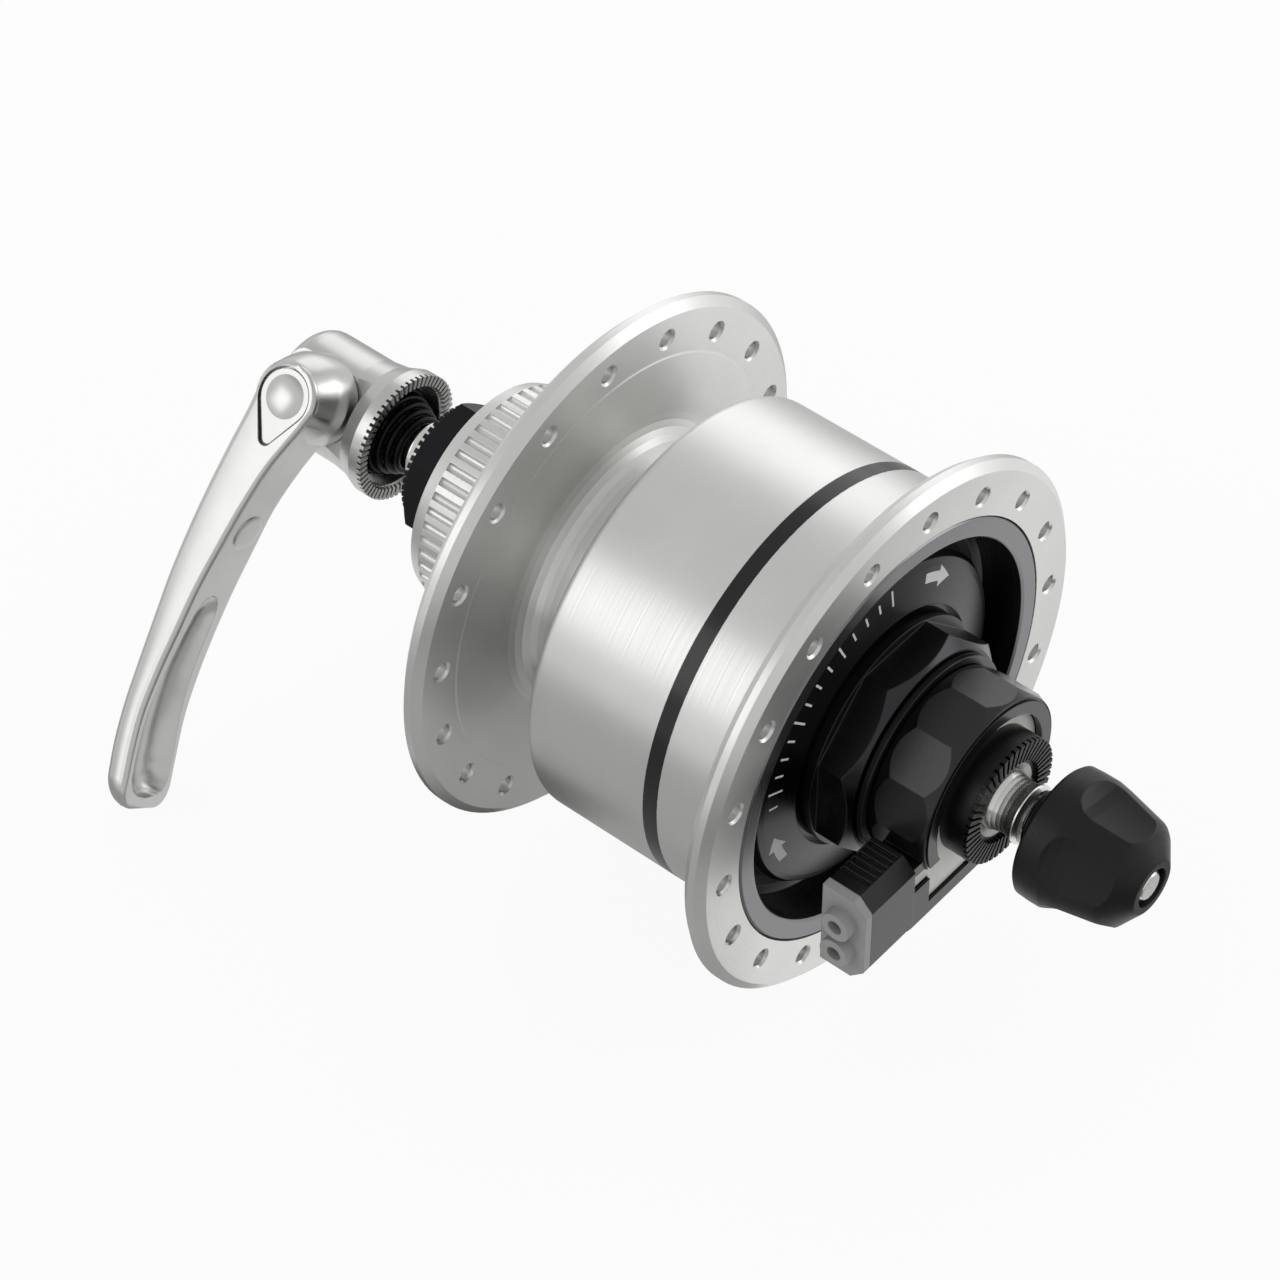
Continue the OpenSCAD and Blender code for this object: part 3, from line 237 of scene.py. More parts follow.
def turned_metal(name, first, second, roughness, anisotropy, pitch_mm, height_mm, edge_mm,
                 ring_gloss=0.04, drift_mm=9.0, step_mm=None):
    """Lathe-turned metal: rings in roughness and relief, and highlights fanned across them.

    The colour drifts between two shades, or goes from one to the other at a radius.
    """
    made, tree, shader = start_material(
        name, second, Metallic=1.0, Anisotropic=anisotropy, Anisotropic_Rotation=ACROSS_THE_RINGS)
    rings = turning_rings(tree, pitch_mm)
    rough = spread(tree, rings, roughness - ring_gloss, roughness + ring_gloss)
    tree.links.new(rough, shader.inputs["Roughness"])
    factor = beyond(tree, step_mm) if step_mm else grain(tree, drift_mm)
    two_shades(tree, shader, factor, first, second)
    relief(tree, shader, rings, height_mm, edge_mm)
    tangent = add(tree, "ShaderNodeTangent", direction_type="RADIAL", axis="Y")
    tree.links.new(tangent.outputs[0], shader.inputs["Tangent"])
    return made


# Clear anodised aluminium: pale, silky, with soft fans of light on the flanges
shell_aluminium = turned_metal(
    "turned_clear_anodised_aluminium", "#D4D4D2", "#E0E0DE",
    roughness=0.4, anisotropy=0.65, pitch_mm=0.3, height_mm=0.0006, edge_mm=0.15)
# Black anodised aluminium: the same fans, dark grey on black, inside a paler rim
lid_aluminium = turned_metal(
    "turned_black_anodised_aluminium", "#39393B", "#7C7C7E",
    roughness=0.28, anisotropy=0.6, pitch_mm=0.3, height_mm=0.00005, edge_mm=0.25,
    ring_gloss=0.01, step_mm=29.2)
# Turned steel: bright, with clear reflections that the rings stretch a little
axle_steel = turned_metal(
    "turned_steel", "#D6D5D2", "#E2E1DE",
    roughness=0.27, anisotropy=0.2, pitch_mm=0.25, height_mm=0.0001, edge_mm=0.1, ring_gloss=0.02)
print("turned metals:", shell_aluminium.name, lid_aluminium.name, axle_steel.name)

# %% [markdown]
# Forged, plated and ground pieces have no rings. The lever and the cam housing are forged aluminium,
# ground smooth and nickel plated to a satin gloss; the plate under the locknut is rolled stainless
# sheet. One function serves them all: specks break up the gloss, and the colour drifts slowly. Real
# grit leaves marks finer than a tenth of a millimetre, so the specks are drawn coarser to show. On
# the lever they are very coarse and faint, because small ones made its satin look like sand.

# %% Smooth metals
def smooth_metal(name, first, second, roughness, speck_mm, height_mm, edge_mm,
                 speck_gloss=0.04, drift_mm=6.0, step_mm=None):
    """Ground or rolled metal: specks in roughness and relief, a slow drift or a step in the colour."""
    made, tree, shader = start_material(name, second, Metallic=1.0)
    specks = grain(tree, speck_mm)
    rough = spread(tree, specks, roughness - speck_gloss, roughness + speck_gloss)
    tree.links.new(rough, shader.inputs["Roughness"])
    factor = beyond(tree, step_mm) if step_mm else grain(tree, drift_mm)
    two_shades(tree, shader, factor, first, second)
    relief(tree, shader, specks, height_mm, edge_mm)
    return made


# Satin nickel plate on a forging: bright with soft reflections
lever_nickel = smooth_metal(
    "satin_nickel_plated_forging", "#C0C0BE", "#CACAC8",
    roughness=0.29, speck_mm=2.0, height_mm=0.0001, edge_mm=0.15, speck_gloss=0.008)
# Rolled stainless sheet: silvery and flat
sheet_steel = smooth_metal(
    "rolled_stainless_sheet", "#E6E6E2", "#F0F0EC",
    roughness=0.75, speck_mm=0.3, height_mm=0.0006, edge_mm=0.08)
# Ground bearing steel: mirror-like balls and rings
bearing_steel = smooth_metal(
    "ground_bearing_steel", "#C2C4C8", "#CCCED2",
    roughness=0.16, speck_mm=0.3, height_mm=0.0002, edge_mm=0.08)
# Black oxide on steel: near black with a dull metal sheen, worn bright in the dish
oxide_steel = smooth_metal(
    "black_oxide_steel", "#A8A8A4", "#29292B",
    roughness=0.36, speck_mm=0.3, height_mm=0.0008, edge_mm=0.1, step_mm=5.6)
# Phosphated spring wire: black, a little oily
spring_wire = smooth_metal(
    "phosphated_spring_wire", "#1B1B1D", "#262628",
    roughness=0.34, speck_mm=0.25, height_mm=0.0008, edge_mm=0.05)
# Annealed iron of the core and yokes: grey, matt
core_iron = smooth_metal(
    "annealed_core_iron", "#6E6C6A", "#7C7A77",
    roughness=0.5, speck_mm=0.5, height_mm=0.002, edge_mm=0.1)
# Stamped brass of cages and contacts: yellow, half bright
brass = smooth_metal(
    "stamped_brass", "#B5925A", "#C5A468",
    roughness=0.32, speck_mm=0.4, height_mm=0.0008, edge_mm=0.08)
# Enamelled copper of the coil: red-brown and glossy
copper = smooth_metal(
    "enamelled_copper", "#9A5530", "#AD653C",
    roughness=0.3, speck_mm=0.3, height_mm=0.004, edge_mm=0.05)
print("smooth metals:", lever_nickel.name, sheet_steel.name, oxide_steel.name)

# %% [markdown]
# The rest is plastic, rubber and ferrite. Moulded plastic is not metal: its colour comes from
# below the surface, and only a few percent of the light is mirrored. The grain of the mould breaks
# up that mirror image, so the nut with its deep grain looks matt, and the band, which has hardly
# any, looks wet. What is called mirror here is the shader's specular level: 0.5 mirrors as much as
# the IOR gives, and less suits the black pieces, whose fine grain swallows a part of it.

# %% Plastics and rubber
PLASTIC_IOR = 1.58  # the upper end of what plastics and rubbers have
COAT_ROUGHNESS = 0.05


def moulded(name, first, second, roughness, speck_mm, height_mm, edge_mm,
            coat=0.0, mirror=0.5, speck_gloss=0.05, drift_mm=5.0):
    """Moulded plastic or rubber: grain of the mould in relief and roughness, a slow drift in colour."""
    made, tree, shader = start_material(
        name, second, IOR=PLASTIC_IOR, Specular_IOR_Level=mirror, Coat_Weight=coat,
        Coat_Roughness=COAT_ROUGHNESS)
    specks = grain(tree, speck_mm)
    rough = spread(tree, specks, roughness - speck_gloss, roughness + speck_gloss)
    tree.links.new(rough, shader.inputs["Roughness"])
    two_shades(tree, shader, grain(tree, drift_mm), first, second)
    relief(tree, shader, specks, height_mm, edge_mm)
    return made


# Black lacquer of the band: deep black with a wet gloss
band_lacquer = moulded(
    "glossy_black_lacquer", "#08080A", "#0B0B0D",
    roughness=0.24, speck_mm=0.4, height_mm=0.0002, edge_mm=0.1, coat=0.1, mirror=0.3)
# Glass-filled nylon of the terminal housing and plug: black with a dull sheen
housing_nylon = moulded(
    "glass_filled_nylon", "#0A0A0B", "#0F0F10",
    roughness=0.22, speck_mm=0.18, height_mm=0.0015, edge_mm=0.2, mirror=0.38)
# Soft-touch plastic of the nut: matt black
nut_rubber = moulded(
    "soft_touch_plastic", "#0C0C0C", "#121212",
    roughness=0.42, speck_mm=0.25, height_mm=0.006, edge_mm=0.3, mirror=0.22)
# Moulded rubber of the plug's cap: flat mid grey
cap_rubber = moulded(
    "grey_moulded_rubber", "#8A8B8A", "#969796",
    roughness=0.5, speck_mm=0.2, height_mm=0.004, edge_mm=0.25)
# Nitrile rubber of the seals: dull black
seal_rubber = moulded(
    "nitrile_rubber", "#151312", "#1D1A18",
    roughness=0.5, speck_mm=0.25, height_mm=0.005, edge_mm=0.15)
# Undyed nylon of the bobbin: cream
bobbin_nylon = moulded(
    "undyed_nylon", "#D8CFB4", "#E2DAC2",
    roughness=0.42, speck_mm=0.3, height_mm=0.004, edge_mm=0.15)
# Sintered ferrite of the magnets: dark grey and stony
ferrite = moulded(
    "sintered_ferrite", "#2C2C30", "#38383C",
    roughness=0.58, speck_mm=0.5, height_mm=0.008, edge_mm=0.2)
# Insulation of the lead: red, half glossy
lead_pvc = moulded(
    "red_wire_insulation", "#8E1F1C", "#A32A24",
    roughness=0.4, speck_mm=0.3, height_mm=0.002, edge_mm=0.05)
# Print ink of the plain marks: pale grey and flat
mark_ink = moulded(
    "pale_grey_print", "#C2C2C0", "#D0D0CE",
    roughness=0.5, speck_mm=0.3, height_mm=0.001, edge_mm=0.02)
print("plastics:", band_lacquer.name, housing_nylon.name, nut_rubber.name)

# %% [markdown]
# Each solid takes its finish from this table, which shows at a glance what pieces share one. Only the
# material on the mesh is new, and the slot in the record stays the same.

# %% Finish of every solid
finishes = {
    shell_aluminium: ["hub_shell"],
    band_lacquer: ["shell_band"],
    lid_aluminium: ["end_lid"],
    axle_steel: ["axle", "skewer_rod", "left_spacer", "right_spacer", "left_core_spacer",
                 "right_core_spacer", "nut_insert"],
    bearing_steel: ["left_bearing_inner", "right_bearing_inner", "left_bearing_outer",
                    "right_bearing_outer", "left_bearing_balls", "right_bearing_balls"],
    brass: ["left_bearing_cage", "right_bearing_cage", "contact_blades"],
    core_iron: ["core_sleeve", "left_claw_yoke", "right_claw_yoke", "back_iron"],
    copper: ["coil_winding"],
    bobbin_nylon: ["coil_bobbin"],
    ferrite: ["magnet_arcs"],
    lead_pvc: ["lead_wire"],
    housing_nylon: ["terminal_housing", "plug_body", "left_dust_cap", "dust_washer"],
    cap_rubber: ["plug_cap"],
    sheet_steel: ["terminal_plate"],
    oxide_steel: ["left_locknut", "right_locknut"],
    seal_rubber: ["left_seal", "lid_seal"],
    lever_nickel: ["lever", "cam_shaft", "cam_body"],
    nut_rubber: ["nut_grip"],
    spring_wire: ["left_spring", "right_spring"],
}
for finish, names in finishes.items():
    for name in names:
        nodes[name].data.materials.clear()
        nodes[name].data.materials.append(finish)
unfinished = sorted(set(nodes) - {name for names in finishes.values() for name in names})
print("solids without a finish:", unfinished)

# %% [markdown]
# Every new piece is a grid of points, a function of two parameters, and one of the two runs in a
# circle. Blender's own shapes could be bent and joined instead, but a formula says where each point
# lies and is easy to change. The grid is joined up with index arithmetic on whole arrays and closed
# at both ends.

# %% Grid to mesh
def tube_faces(rows, columns):
    """Quads (i, j), (i, j + 1), (i + 1, j + 1), (i + 1, j) of a grid whose columns run in a circle.

    A flat cap closes the first row, and another one the last.
    """
    i, j = np.meshgrid(np.arange(rows - 1), np.arange(columns), indexing="ij")
    here = i * columns + j
    right = i * columns + (j + 1) % columns
    quads = np.stack([here, right, right + columns, here + columns], axis=-1).reshape(-1, 4)
    first = np.arange(columns)
    last = first + (rows - 1) * columns
    return quads.tolist() + [first[::-1].tolist(), last.tolist()]


def make_mesh(name, points, faces):
    """Puts points in mm and faces into a mesh object at the origin."""
    mesh = bpy.data.meshes.new(name)
    mesh.from_pydata((points * MM).tolist(), [], faces)
    mesh.update()
    made = bpy.data.objects.new(name, mesh)
    scene.collection.objects.link(made)
    return made


def dress(piece, finish, body, sharp_degrees=180):
    """Gives a piece its finish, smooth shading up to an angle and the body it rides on."""
    piece.data.materials.clear()
    piece.data.materials.append(finish)
    piece.data.shade_smooth()
    piece.data.set_sharp_from_angle(angle=math.radians(sharp_degrees))
    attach(piece, body)
    print(piece.name, len(piece.data.vertices), "points,", len(piece.data.polygons), "faces")
    return piece


print("a tube of 3 rings with 4 points each has", len(tube_faces(3, 4)), "faces")

# %% [markdown]
# The two springs centre the skewer. Each is a cone-shaped coil of round wire, wound five times
# from a narrow end at the axle to a wide end in the cam housing or the nut. A curve with a round
# bevel would give such a wire too, but it would still have to be made a mesh. Here the wire is a
# circle carried along the coil: one parameter runs along the wire, the other round it.

# %% Wound springs
wire, curls, narrow_radius = 1.1, 5, 3.9


def coil_tube(start_y, end_y, wide_radius, steps_per_curl=72, sides=20):
    """Points c(t) + wire / 2 * (cos b * out(t) + sin b * axle).

    c(t) runs along a coil on a cone, and out(t) points away from the axle.
    """
    t = np.linspace(0, 1, curls * steps_per_curl + 1)[:, None]
    b = np.linspace(0, FULL_TURN, sides, endpoint=False)[None, :]
    turn = FULL_TURN * curls * t
    radius = narrow_radius + (wide_radius - narrow_radius) * t + wire / 2 * np.cos(b)
    height = start_y + (end_y - start_y) * t + wire / 2 * np.sin(b)
    grid = np.stack([radius * np.cos(turn), height, radius * np.sin(turn)], axis=-1)
    return grid.reshape(-1, 3), tube_faces(len(t), sides)


def wound_spring(name, node, body, widens):
    """Winds the solid coil again where it lies; widens is 1 or -1, the way along Y to its wide end."""
    low, high = (np.array(corner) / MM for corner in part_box(node))
    wide_radius = high[0] - wire / 2
    ends = (low[1] + wire / 2, high[1] - wire / 2)[::widens]
    piece = make_mesh(name, *coil_tube(*ends, wide_radius))
    dress(piece, spring_wire, body)
    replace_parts(piece, node)


wound_spring("wound_left_spring", "left_spring", "cam_housing", 1)
wound_spring("wound_right_spring", "right_spring", "nut_spring", -1)

# %% [markdown]
# The lever is a forging: a bar that is deep near the cam shaft and flattens into a thumb pad at its
# tip, with a spoon-shaped scoop on the inner side. The solid shows flat facets, so the lever is made
# again as a smooth skin. Its stations are written in the lever's own directions: along the bar, along
# the cam shaft, and outwards. A cage under Subdivision Surface would be smooth as well, but it
# shrinks away from its points. A curve through the stations keeps every size as it is written.

# %% Lever stations
lever_turn = math.radians(129.2)
cam_middle = np.array([0.0, 69.0, 0.0])
lever_axes = np.array([
    [math.cos(lever_turn), 0, -math.sin(lever_turn)],
    [-math.sin(lever_turn), 0, -math.cos(lever_turn)],
    [0, 1, 0]])
head_radius, tip_start, tip_end = 5.2, 61.2, 65.2
# Stations along the bar, and the four sides there
bar_places = [0, 3, 10, 17, 24, 31, 38, 45, 52, 57, 61, tip_end]
bar_outer = [5.05, 5.05, 5.6, 6.05, 6.25, 6.15, 5.65, 5.1, 4.4, 3.5, 2.4, 1.1]
bar_inner = [-5.4, -4.6, -2.4, -1.1, -0.25, 0.45, 0.65, 0.8, 0.45, -0.5, -1.5, -2.6]
bar_near = [15.9, 15.95, 16, 16, 16, 16, 16, 16, 16, 16, 16, 16]
bar_far = [7.4, 7.2, 7.0, 7.3, 6.7, 6.15, 5.9, 5.2, 4.5, 4.2, 4.2, 4.2]
# How far the outer, inner, near and far side draw in at the tip
tip_rounding = [1.3, -0.7, 3.0, -2.6]
# Stations along the scoop, with its half width, depth and middle there
scoop_places = [31.8, 32.0, 32.6, 34, 37, 41, 45, 50, 55, 59, 61.5, 62.8, 63.3, 63.5]
scoop_half = [0.02, 0.8, 1.6, 2.35, 2.8, 3.15, 3.5, 4.0, 4.4, 4.5, 4.1, 2.9, 1.5, 0.02]
scoop_depth = [0, 0.35, 0.85, 1.5, 2.0, 2.3, 2.55, 2.7, 2.8, 2.7, 2.3, 1.4, 0.7, 0]
scoop_middle = [11, 11, 11, 11, 11, 11, 10.9, 10.5, 10.1, 10, 10, 10, 10, 10]


def through(places, values, x):
    """Curve through points: in each gap, the cubic blend of both values and of the slopes there."""
    places, values = np.array(places, float), np.array(values, float)
    slopes = np.gradient(values, places)
    i = np.clip(np.searchsorted(places, x) - 1, 0, len(places) - 2)
    step = places[i + 1] - places[i]
    t = np.clip((x - places[i]) / step, 0, 1)
    return ((1 + 2 * t) * (1 - t) ** 2 * values[i] + t * (1 - t) ** 2 * step * slopes[i]
            + t ** 2 * (3 - 2 * t) * values[i + 1] - t ** 2 * (1 - t) * step * slopes[i + 1])


def in_lever_frame(along, across, outwards):
    """Distances along the bar, along the cam shaft and outwards, turned into the shared frame."""
    local = np.stack(np.broadcast_arrays(along, across, outwards), axis=-1)
    return (cam_middle + local @ lever_axes).reshape(-1, 3)


print("lever from", -head_radius, "to", tip_end, "mm along the bar")

# %% [markdown]
# The skin is a row of rings along the bar. The rings lie closer where the shape turns quickly: at the
# head, at both ends of the scoop and at the tip. Four curves bound each ring, and three more say how
# wide and deep the scoop is there and where its middle lies.

# %% Lever outline
# Quarter turns on which the rings lie at both ends, begun just past the head's end and the scoop's
first_head_turn, first_tip_turn = 0.05, 0.63


def bar_rows():
    """Places of the rings along the bar, closer at the head, the scoop's ends and the tip."""
    scoop_start, scoop_end = scoop_places[0], scoop_places[-1]
    head_turn = np.linspace(first_head_turn, math.pi / 2, 28, endpoint=False)
    tip_turn = np.linspace(first_tip_turn, math.pi / 2, 18)
    return np.concatenate([
        -head_radius * np.cos(head_turn),
        np.linspace(0, scoop_start - 0.1, 64),
        np.linspace(scoop_start, 34, 26),
        np.linspace(34.2, 60, 90),
        np.linspace(60.2, scoop_end, 34),
        tip_start + (tip_end - tip_start) * np.sin(tip_turn)])[:, None]


def bar_sides(x):
    """Outer, inner, near and far side: curves through the stations, rounded at both ends of the bar.

    The head shrinks by sqrt(1 - u * u), and the tip draws in by its rounding * (1 - sqrt(1 - u * u)).
    """
    outer, inner, near, far = (
        through(bar_places, values, x) for values in (bar_outer, bar_inner, bar_near, bar_far))
    middle = (bar_outer[0] + bar_inner[0]) / 2
    head = np.sqrt(1 - (np.minimum(x, 0) / head_radius) ** 2)
    outer, inner = middle + (outer - middle) * head, middle + (inner - middle) * head
    u = np.clip((x - tip_start) / (tip_end - tip_start), 0, 1)
    draw_in = 1 - np.sqrt(1 - u ** 2)
    return [v - rounding * draw_in for v, rounding in zip((outer, inner, near, far), tip_rounding)]


def scoop_cut(x):
    """Half width, depth and middle of the scoop, narrowed to a hair line before and after it."""
    inside = (x > scoop_places[0]) & (x < scoop_places[-1])
    half = np.where(inside, through(scoop_places, scoop_half, x), scoop_half[0])
    depth = np.where(inside, through(scoop_places, scoop_depth, x), 0)
    return half, depth, through(scoop_places, scoop_middle, x)


print("lever has", len(bar_rows()), "rings")

# %% [markdown]
# A section runs once round the bar: along the inner side with the scoop, round an edge, over the near
# side, the outer side and the far side. The scoop could be cut out with a spoon-shaped tool
# afterwards. Here its two rims are lines of the grid, so they stay crisp.

# %% Lever skin
# Radius of each edge of a section, and the largest share of the bar's depth that it may take
ridge_edge, brow_edge, heel_edge, foot_edge = (0.8, 0.4), (1.2, 0.5), (1.2, 0.5), (0.7, 0.4)
near_swell, outer_swell = 0.12, 0.3
bowl_points = 45


def edge(across, outwards, radius, start, steps=9):
    """Quarter circle of a section, from a start angle in degrees, without its first point."""
    turn = np.radians(start + np.linspace(0, 90, steps + 1)[1:])
    return across + radius * np.cos(turn), outwards + radius * np.sin(turn)


def side(start, end, steps, swells=(0.0, 0.0)):
    """Side of a section from one point to another, a + (b - a) * t + 4 * swell * t * (1 - t)."""
    t = np.linspace(0, 1, steps + 1)[1:]
    return tuple(a + (b - a) * t + 4 * swell * t * (1 - t) for a, b, swell in zip(start, end, swells))


def lever_skin():
    """Rings of the bar: a rounded oblong between four curves, cut by depth * (1 - s ** 2.2) ** 0.9."""
    x = bar_rows()
    outer, inner, near, far = bar_sides(x)
    half, depth, centre = scoop_cut(x)
    ridge, brow, heel, foot = (
        np.minimum(radius, share * (outer - inner))
        for radius, share in (ridge_edge, brow_edge, heel_edge, foot_edge))
    s = -np.cos(np.linspace(0, math.pi, bowl_points)[1:])
    bowl = depth * (1 - np.abs(s) ** 2.2) ** 0.9
    parts = [
        side((far + foot, inner), (centre - half, inner), 8),
        (centre + half * s, inner + bowl),
        side((centre + half, inner), (near - ridge, inner), 8),
        edge(near - ridge, inner + ridge, ridge, -90),
        side((near, inner + ridge), (near, outer - brow), 14, (near_swell, 0)),
        edge(near - brow, outer - brow, brow, 0),
        side((near - brow, outer), (far + heel, outer), 16, (0, outer_swell)),
        edge(far + heel, outer - heel, heel, 90),
        side((far, outer - heel), (far, inner + foot), 10),
        edge(far + foot, inner + foot, foot, 180)]
    across = np.concatenate([part[0] for part in parts], axis=1)
    outwards = np.concatenate([part[1] for part in parts], axis=1)
    return in_lever_frame(x, across, outwards), tube_faces(*across.shape)


lever_bar = make_mesh("forged_lever", *lever_skin())
print("bar has", len(lever_bar.data.vertices), "points")

# %% [markdown]
# The boss under the head is turned round the cam shaft. It is joined to the bar, and then the bore and
# the drop-shaped pocket for the shaft's head are cut, as a mill would cut them. The lines of the
# bar's grid run across these shapes and can't follow them, so boolean modifiers do the work.

# %% Lever boss and pocket
# Radius round the cam shaft and place along it
boss_profile = np.array([[6.4, 6.7], [6.7, 7.0], [6.7, 10.5], [6.35, 11.8], [5.3, 15.0], [4.9, 15.5]])
bore_radius, bore_start, bore_end = 3.93, 5.0, 14.6
bore_profile = np.array([[bore_radius, bore_start], [bore_radius, bore_end]])
pocket_radius, pocket_tip_radius, pocket_tip = 4.35, 1.2, 6.4
pocket_floor, pocket_top = 14.5, 17.5


def round_cam(profile, steps=96):
    """Profile carried round the cam shaft: (radius * cos turn, height, radius * sin turn)."""
    turn = -np.linspace(0, FULL_TURN, steps, endpoint=False)[None, :]
    radius, height = profile[:, :1], profile[:, 1:]
    points = in_lever_frame(radius * np.cos(turn), height, radius * np.sin(turn))
    return points, tube_faces(len(profile), steps)


def drop_prism():
    """Drop outline, two arcs that share their tangents, drawn along the cam shaft."""
    lean = math.acos((pocket_radius - pocket_tip_radius) / pocket_tip)
    big = np.linspace(lean, FULL_TURN - lean, 64)
    small = np.linspace(-lean, lean, 24)
    along = np.concatenate([
        pocket_radius * np.cos(big), pocket_tip + pocket_tip_radius * np.cos(small)])[::-1]
    outwards = np.concatenate([pocket_radius * np.sin(big), pocket_tip_radius * np.sin(small)])[::-1]
    height = np.array([[pocket_floor], [pocket_top]])
    return in_lever_frame(along[None, :], height, outwards[None, :]), tube_faces(2, len(along))


def combine(base, operation, tool):
    """Joins or cuts one solid with another and keeps the result as the first one's mesh."""
    step = base.modifiers.new(operation, "BOOLEAN")
    step.operation, step.solver, step.object = operation, "EXACT", tool
    result = base.evaluated_get(bpy.context.evaluated_depsgraph_get())
    made = bpy.data.meshes.new_from_object(result)
    base.modifiers.clear()
    base.data = made
    bpy.data.objects.remove(tool)


combine(lever_bar, "UNION", make_mesh("boss", *round_cam(boss_profile)))
combine(lever_bar, "DIFFERENCE", make_mesh("bore", *round_cam(bore_profile)))
combine(lever_bar, "DIFFERENCE", make_mesh("pocket", *drop_prism()))
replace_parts(dress(lever_bar, lever_nickel, "lever_arm", 30), "lever")

# %% [markdown]
# A forging often carries a small round pad on its inner side. It is left plain here. A cylinder
# would stand off the bowed bar on one side, so the pad is a disc that follows the bar's own curve.

# %% Lever pad
pad_place, pad_middle, pad_radius, pad_rise = 21.2, 11.0, 2.9, 0.22


def round_pad():
    """Disc of radius s, raised by rise * (1 - s ** 12) from the inner side.

    Its first ring is sunk into the bar, so that the disc is closed below.
    """
    s = np.concatenate([np.linspace(1, 0.9, 8), np.linspace(0.85, 0.05, 6)])[:, None]
    turn = -np.linspace(0, FULL_TURN, 64, endpoint=False)[None, :]
    along = pad_place + pad_radius * s * np.cos(turn)
    across = pad_middle + pad_radius * s * np.sin(turn)
    level = through(bar_places, bar_inner, along) - pad_rise * (1 - s ** 12)
    level[0] += pad_rise
    return in_lever_frame(along, across, level), tube_faces(*along.shape)


dress(make_mesh("lever_pad", *round_pad()), lever_nickel, "lever_arm", 60)

# %% [markdown]
# The lid carries print: two arrows that show which way the hub turns, and plain ticks. A mark is a
# flat bar along an arc, whose width may change on the way, and it stands a fiftieth of a
# millimetre proud of the lid's slope. A picture on the lid could hold the print, but thin solids
# stay sharp at any distance and need no file.

# %% Printed marks
# Distance from the axle and place along it, at both ends of the lid's slope
slope_start, slope_end = (23.8, -27.3), (18.4, -28.4)
print_radius, print_rise, print_root = 22.3, 0.02, 0.05
arrow_half, head_half, point_half, arrow_neck = 0.7, 1.5, 0.03, 0.55
tick_turns, tick_sweep, long_tick, short_tick = np.arange(84, 182, 7), 0.9, 1.2, 0.7


def printed_bar(turn, half_width):
    """Four-cornered section from radius - half_width to radius + half_width, carried along the turn."""
    turn = np.radians(turn)[:, None]
    half_width = np.array(half_width)[:, None]
    r = print_radius + half_width * np.array([[-1, 1, 1, -1]])
    surface = np.interp(r, *np.array([slope_end, slope_start]).T)
    y = surface + np.array([[-print_rise, -print_rise, print_root, print_root]])
    grid = np.stack([r * np.cos(turn), y, r * np.sin(turn)], axis=-1)
    return grid.reshape(-1, 3), tube_faces(len(turn), 4)


def arrow(name, tail, tip):
    """Point that widens to a head, then a bar: from the tip up to the tail, so that faces look outwards."""
    neck = tail + (tip - tail) * arrow_neck
    turn = np.concatenate([np.linspace(tip, neck, 5), np.linspace(neck, tail, 8)])
    half_width = np.concatenate([np.linspace(point_half, head_half, 5), np.full(8, arrow_half)])
    dress(make_mesh(name, *printed_bar(turn, half_width)), mark_ink, "shell", 30)


arrow("upper_arrow", 65, 49)
arrow("lower_arrow", 208, 192)
for count, turn in enumerate(tick_turns):
    half_width = long_tick if count % 4 == 0 else short_tick
    bar = printed_bar(np.array([turn, turn + tick_sweep]), [half_width, half_width])
    dress(make_mesh(f"tick_{count}", *bar), mark_ink, "shell", 30)

# %% [markdown]
# The studio: a white paper floor, a pale room that is brightest at the horizon, and softboxes. A
# white floor has to look white without more light on the hub, so its paper glows evenly for rays
# that come from the camera, a mirror image or through glass, and a share of the lamps' own light
# stays in, which keeps the shadow.

# %% Floor
floor_half_mm = 6000
floor_mm = cad_box[0].z / MM - 1
floor_glow = 0.9


def empty_material(name):
    """A material without nodes, for a surface that needs no Principled shader."""
    made = bpy.data.materials.new(name)
    made.use_nodes = True
    made.node_tree.nodes.clear()
    return made, made.node_tree


def paper_floor(name, glow_share):
    """White paper: diffuse for the light it scatters, even white for what the eye or a mirror sees."""
    made, tree = empty_material(name)
    rays = add(tree, "ShaderNodeLightPath").outputs
    seen = add(tree, "ShaderNodeMath",
               {0: rays["Is Camera Ray"], 1: rays["Is Glossy Ray"]}, operation="MAXIMUM")
    seen = add(tree, "ShaderNodeMath",
               {0: seen.outputs[0], 1: rays["Is Transmission Ray"]}, operation="MAXIMUM")
    share = add(tree, "ShaderNodeMath", {0: seen.outputs[0], 1: glow_share}, operation="MULTIPLY")
    paper = add(tree, "ShaderNodeBsdfDiffuse", {"Color": linear("#F4F4F2")})
    glow = add(tree, "ShaderNodeEmission", {"Color": linear("#FFFFFF"), "Strength": 1.0})
    both = add(tree, "ShaderNodeMixShader",
               {0: share.outputs[0], 1: paper.outputs[0], 2: glow.outputs[0]})
    add(tree, "ShaderNodeOutputMaterial", {"Surface": both.outputs[0]})
    return made


def level_sheet(name, low_x, low_y, high_x, high_y, z, finish):
    """A flat oblong of the studio, which is no part of the hub."""
    corners = np.array([(low_x, low_y, z), (high_x, low_y, z), (high_x, high_y, z), (low_x, high_y, z)])
    made = make_mesh(name, corners, [(0, 1, 2, 3)])
    made.data.materials.append(finish)
    return made


level_sheet("floor", -floor_half_mm, -floor_half_mm, floor_half_mm, floor_half_mm, floor_mm,
            paper_floor("white_paper", floor_glow))
print("floor at", round(floor_mm, 1), "mm")

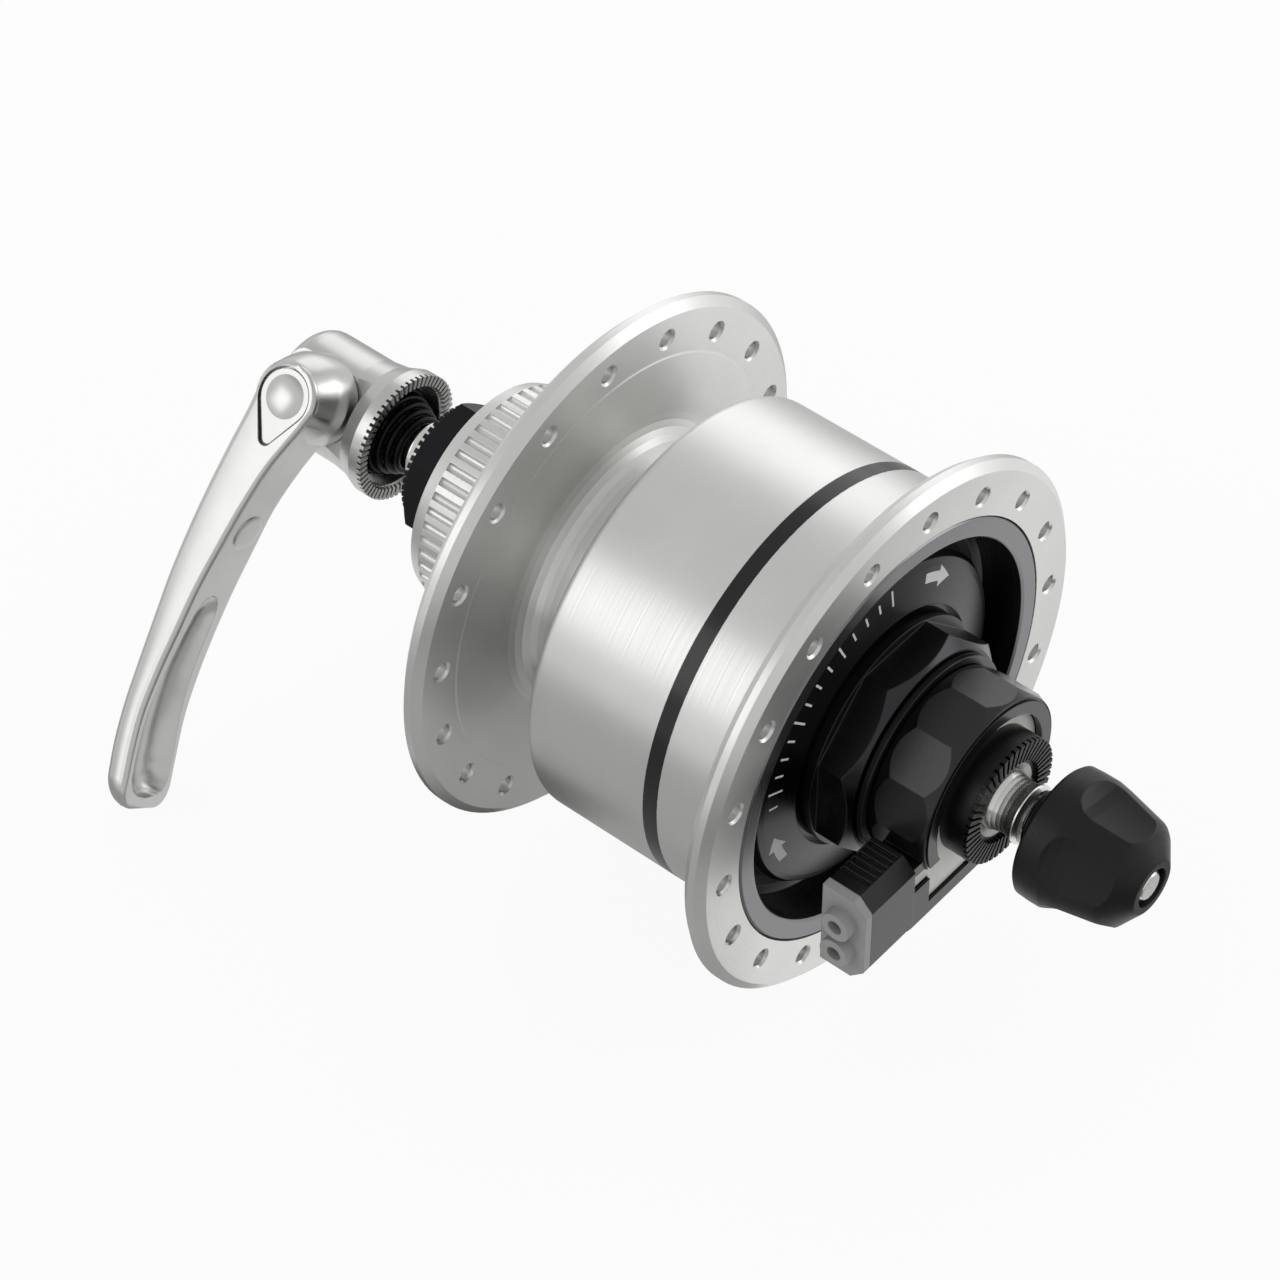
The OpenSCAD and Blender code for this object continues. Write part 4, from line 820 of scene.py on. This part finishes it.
# %% [markdown]
# The room is a gradient from the horizon up. A picture of a real room could light the hub as well,
# but its windows would show in the metal. Upright faces mirror the horizon, and level ones what is
# overhead, so the small step in brightness between the two tells them apart.

# %% Room
horizon_glow, overhead_glow, overhead_height = 0.84, 0.68, 0.9

world = bpy.data.worlds.new("room")
scene.world = world
world.use_nodes = True
room = world.node_tree
room.nodes.clear()
direction = add(room, "ShaderNodeTexCoord").outputs["Generated"]
upwards = add(room, "ShaderNodeSeparateXYZ", {0: direction}).outputs["Z"]
level = add(room, "ShaderNodeMapRange",
            {"Value": upwards, "From Min": 0.0, "From Max": overhead_height,
             "To Min": horizon_glow, "To Max": overhead_glow})
backdrop = add(room, "ShaderNodeBackground",
               {"Color": linear("#FFFFFF"), "Strength": level.outputs["Result"]})
add(room, "ShaderNodeOutputWorld", {"Surface": backdrop.outputs[0]})
print("room from", horizon_glow, "at the horizon to", overhead_glow, "overhead")

# %% [markdown]
# Softboxes stand to the left, behind and to the right. In metal, a small lamp shows as a dot and a
# broad one as a soft streak, so these are at least half a metre wide. A lamp's power is its
# brightness times pi times its area, so that its mirror image has that brightness.

# %% Softboxes
def softbox(name, direction, distance, size, brightness):
    """A square lamp that faces the hub from a direction, with power = brightness * pi * area."""
    lamp = bpy.data.lights.new(name, "AREA")
    lamp.shape = "SQUARE"
    lamp.size = size
    lamp.energy = brightness * math.pi * size ** 2
    box = bpy.data.objects.new(name, lamp)
    scene.collection.objects.link(box)
    away = Vector(direction).normalized()
    box.location = away * distance
    box.rotation_mode = "QUATERNION"
    box.rotation_quaternion = (-away).to_track_quat("-Z", "Y")
    print(name, round(lamp.energy, 2), "W")


softbox("left_softbox", (-0.746, 0.44, 0.5), distance=0.9, size=0.5, brightness=1.25)
softbox("back_softbox", (0.806, 0.44, 0.396), distance=0.9, size=0.6, brightness=0.76)
softbox("right_softbox", (0.78, -0.55, 0.3), distance=0.9, size=0.5, brightness=1.8)

# %% [markdown]
# Polished and turned metal shows its surroundings. The floor glows evenly white in mirror images,
# so each card paints the floor's shadow and darker surroundings in there: painted shade that the
# metal shows as a reflection. Each card here is a glowing oblong just above the floor. Cards are met
# in mirror images only, so they take no light away and leave the floor white.

# %% Dark cards of painted shade
def card(name, low_x, low_y, high_x, high_y, brightness, rise=0.5):
    """A flat card with an even glow of this brightness, which only glossy rays meet: painted shade in the
    metal's mirror images.
    """
    finish, tree = empty_material(name)
    glow = add(tree, "ShaderNodeEmission", {"Color": linear("#FFFFFF"), "Strength": brightness})
    add(tree, "ShaderNodeOutputMaterial", {"Surface": glow.outputs[0]})
    sheet = level_sheet(name, low_x, low_y, high_x, high_y, floor_mm + rise, finish)
    sheet.visible_camera = False
    sheet.visible_diffuse = False
    sheet.visible_transmission = False
    sheet.visible_shadow = False
    print(name, "glows", brightness)


# Painted shade: these glowing grey and dark cards stand in for the floor's shadow in the metal's
# reflections.
card("left_painted_shade_card", -400, -95, -48, 400, brightness=0.46)
card("near_painted_shade_card", -48, -95, -20, 40, brightness=0.4)
card("middle_painted_shade_card", -20, -20, 60, 40, brightness=0.4)
card("lever_painted_shade_card", -48, 40, 60, 400, brightness=0.85)
card("scoop_painted_shade_card", -46, 14, -18, 44, brightness=0.08, rise=1.0)
card("back_painted_shade_card", 60, 10, 400, 400, brightness=0.5)
card("front_painted_shade_card", -350, -450, 120, -95, brightness=0.22)
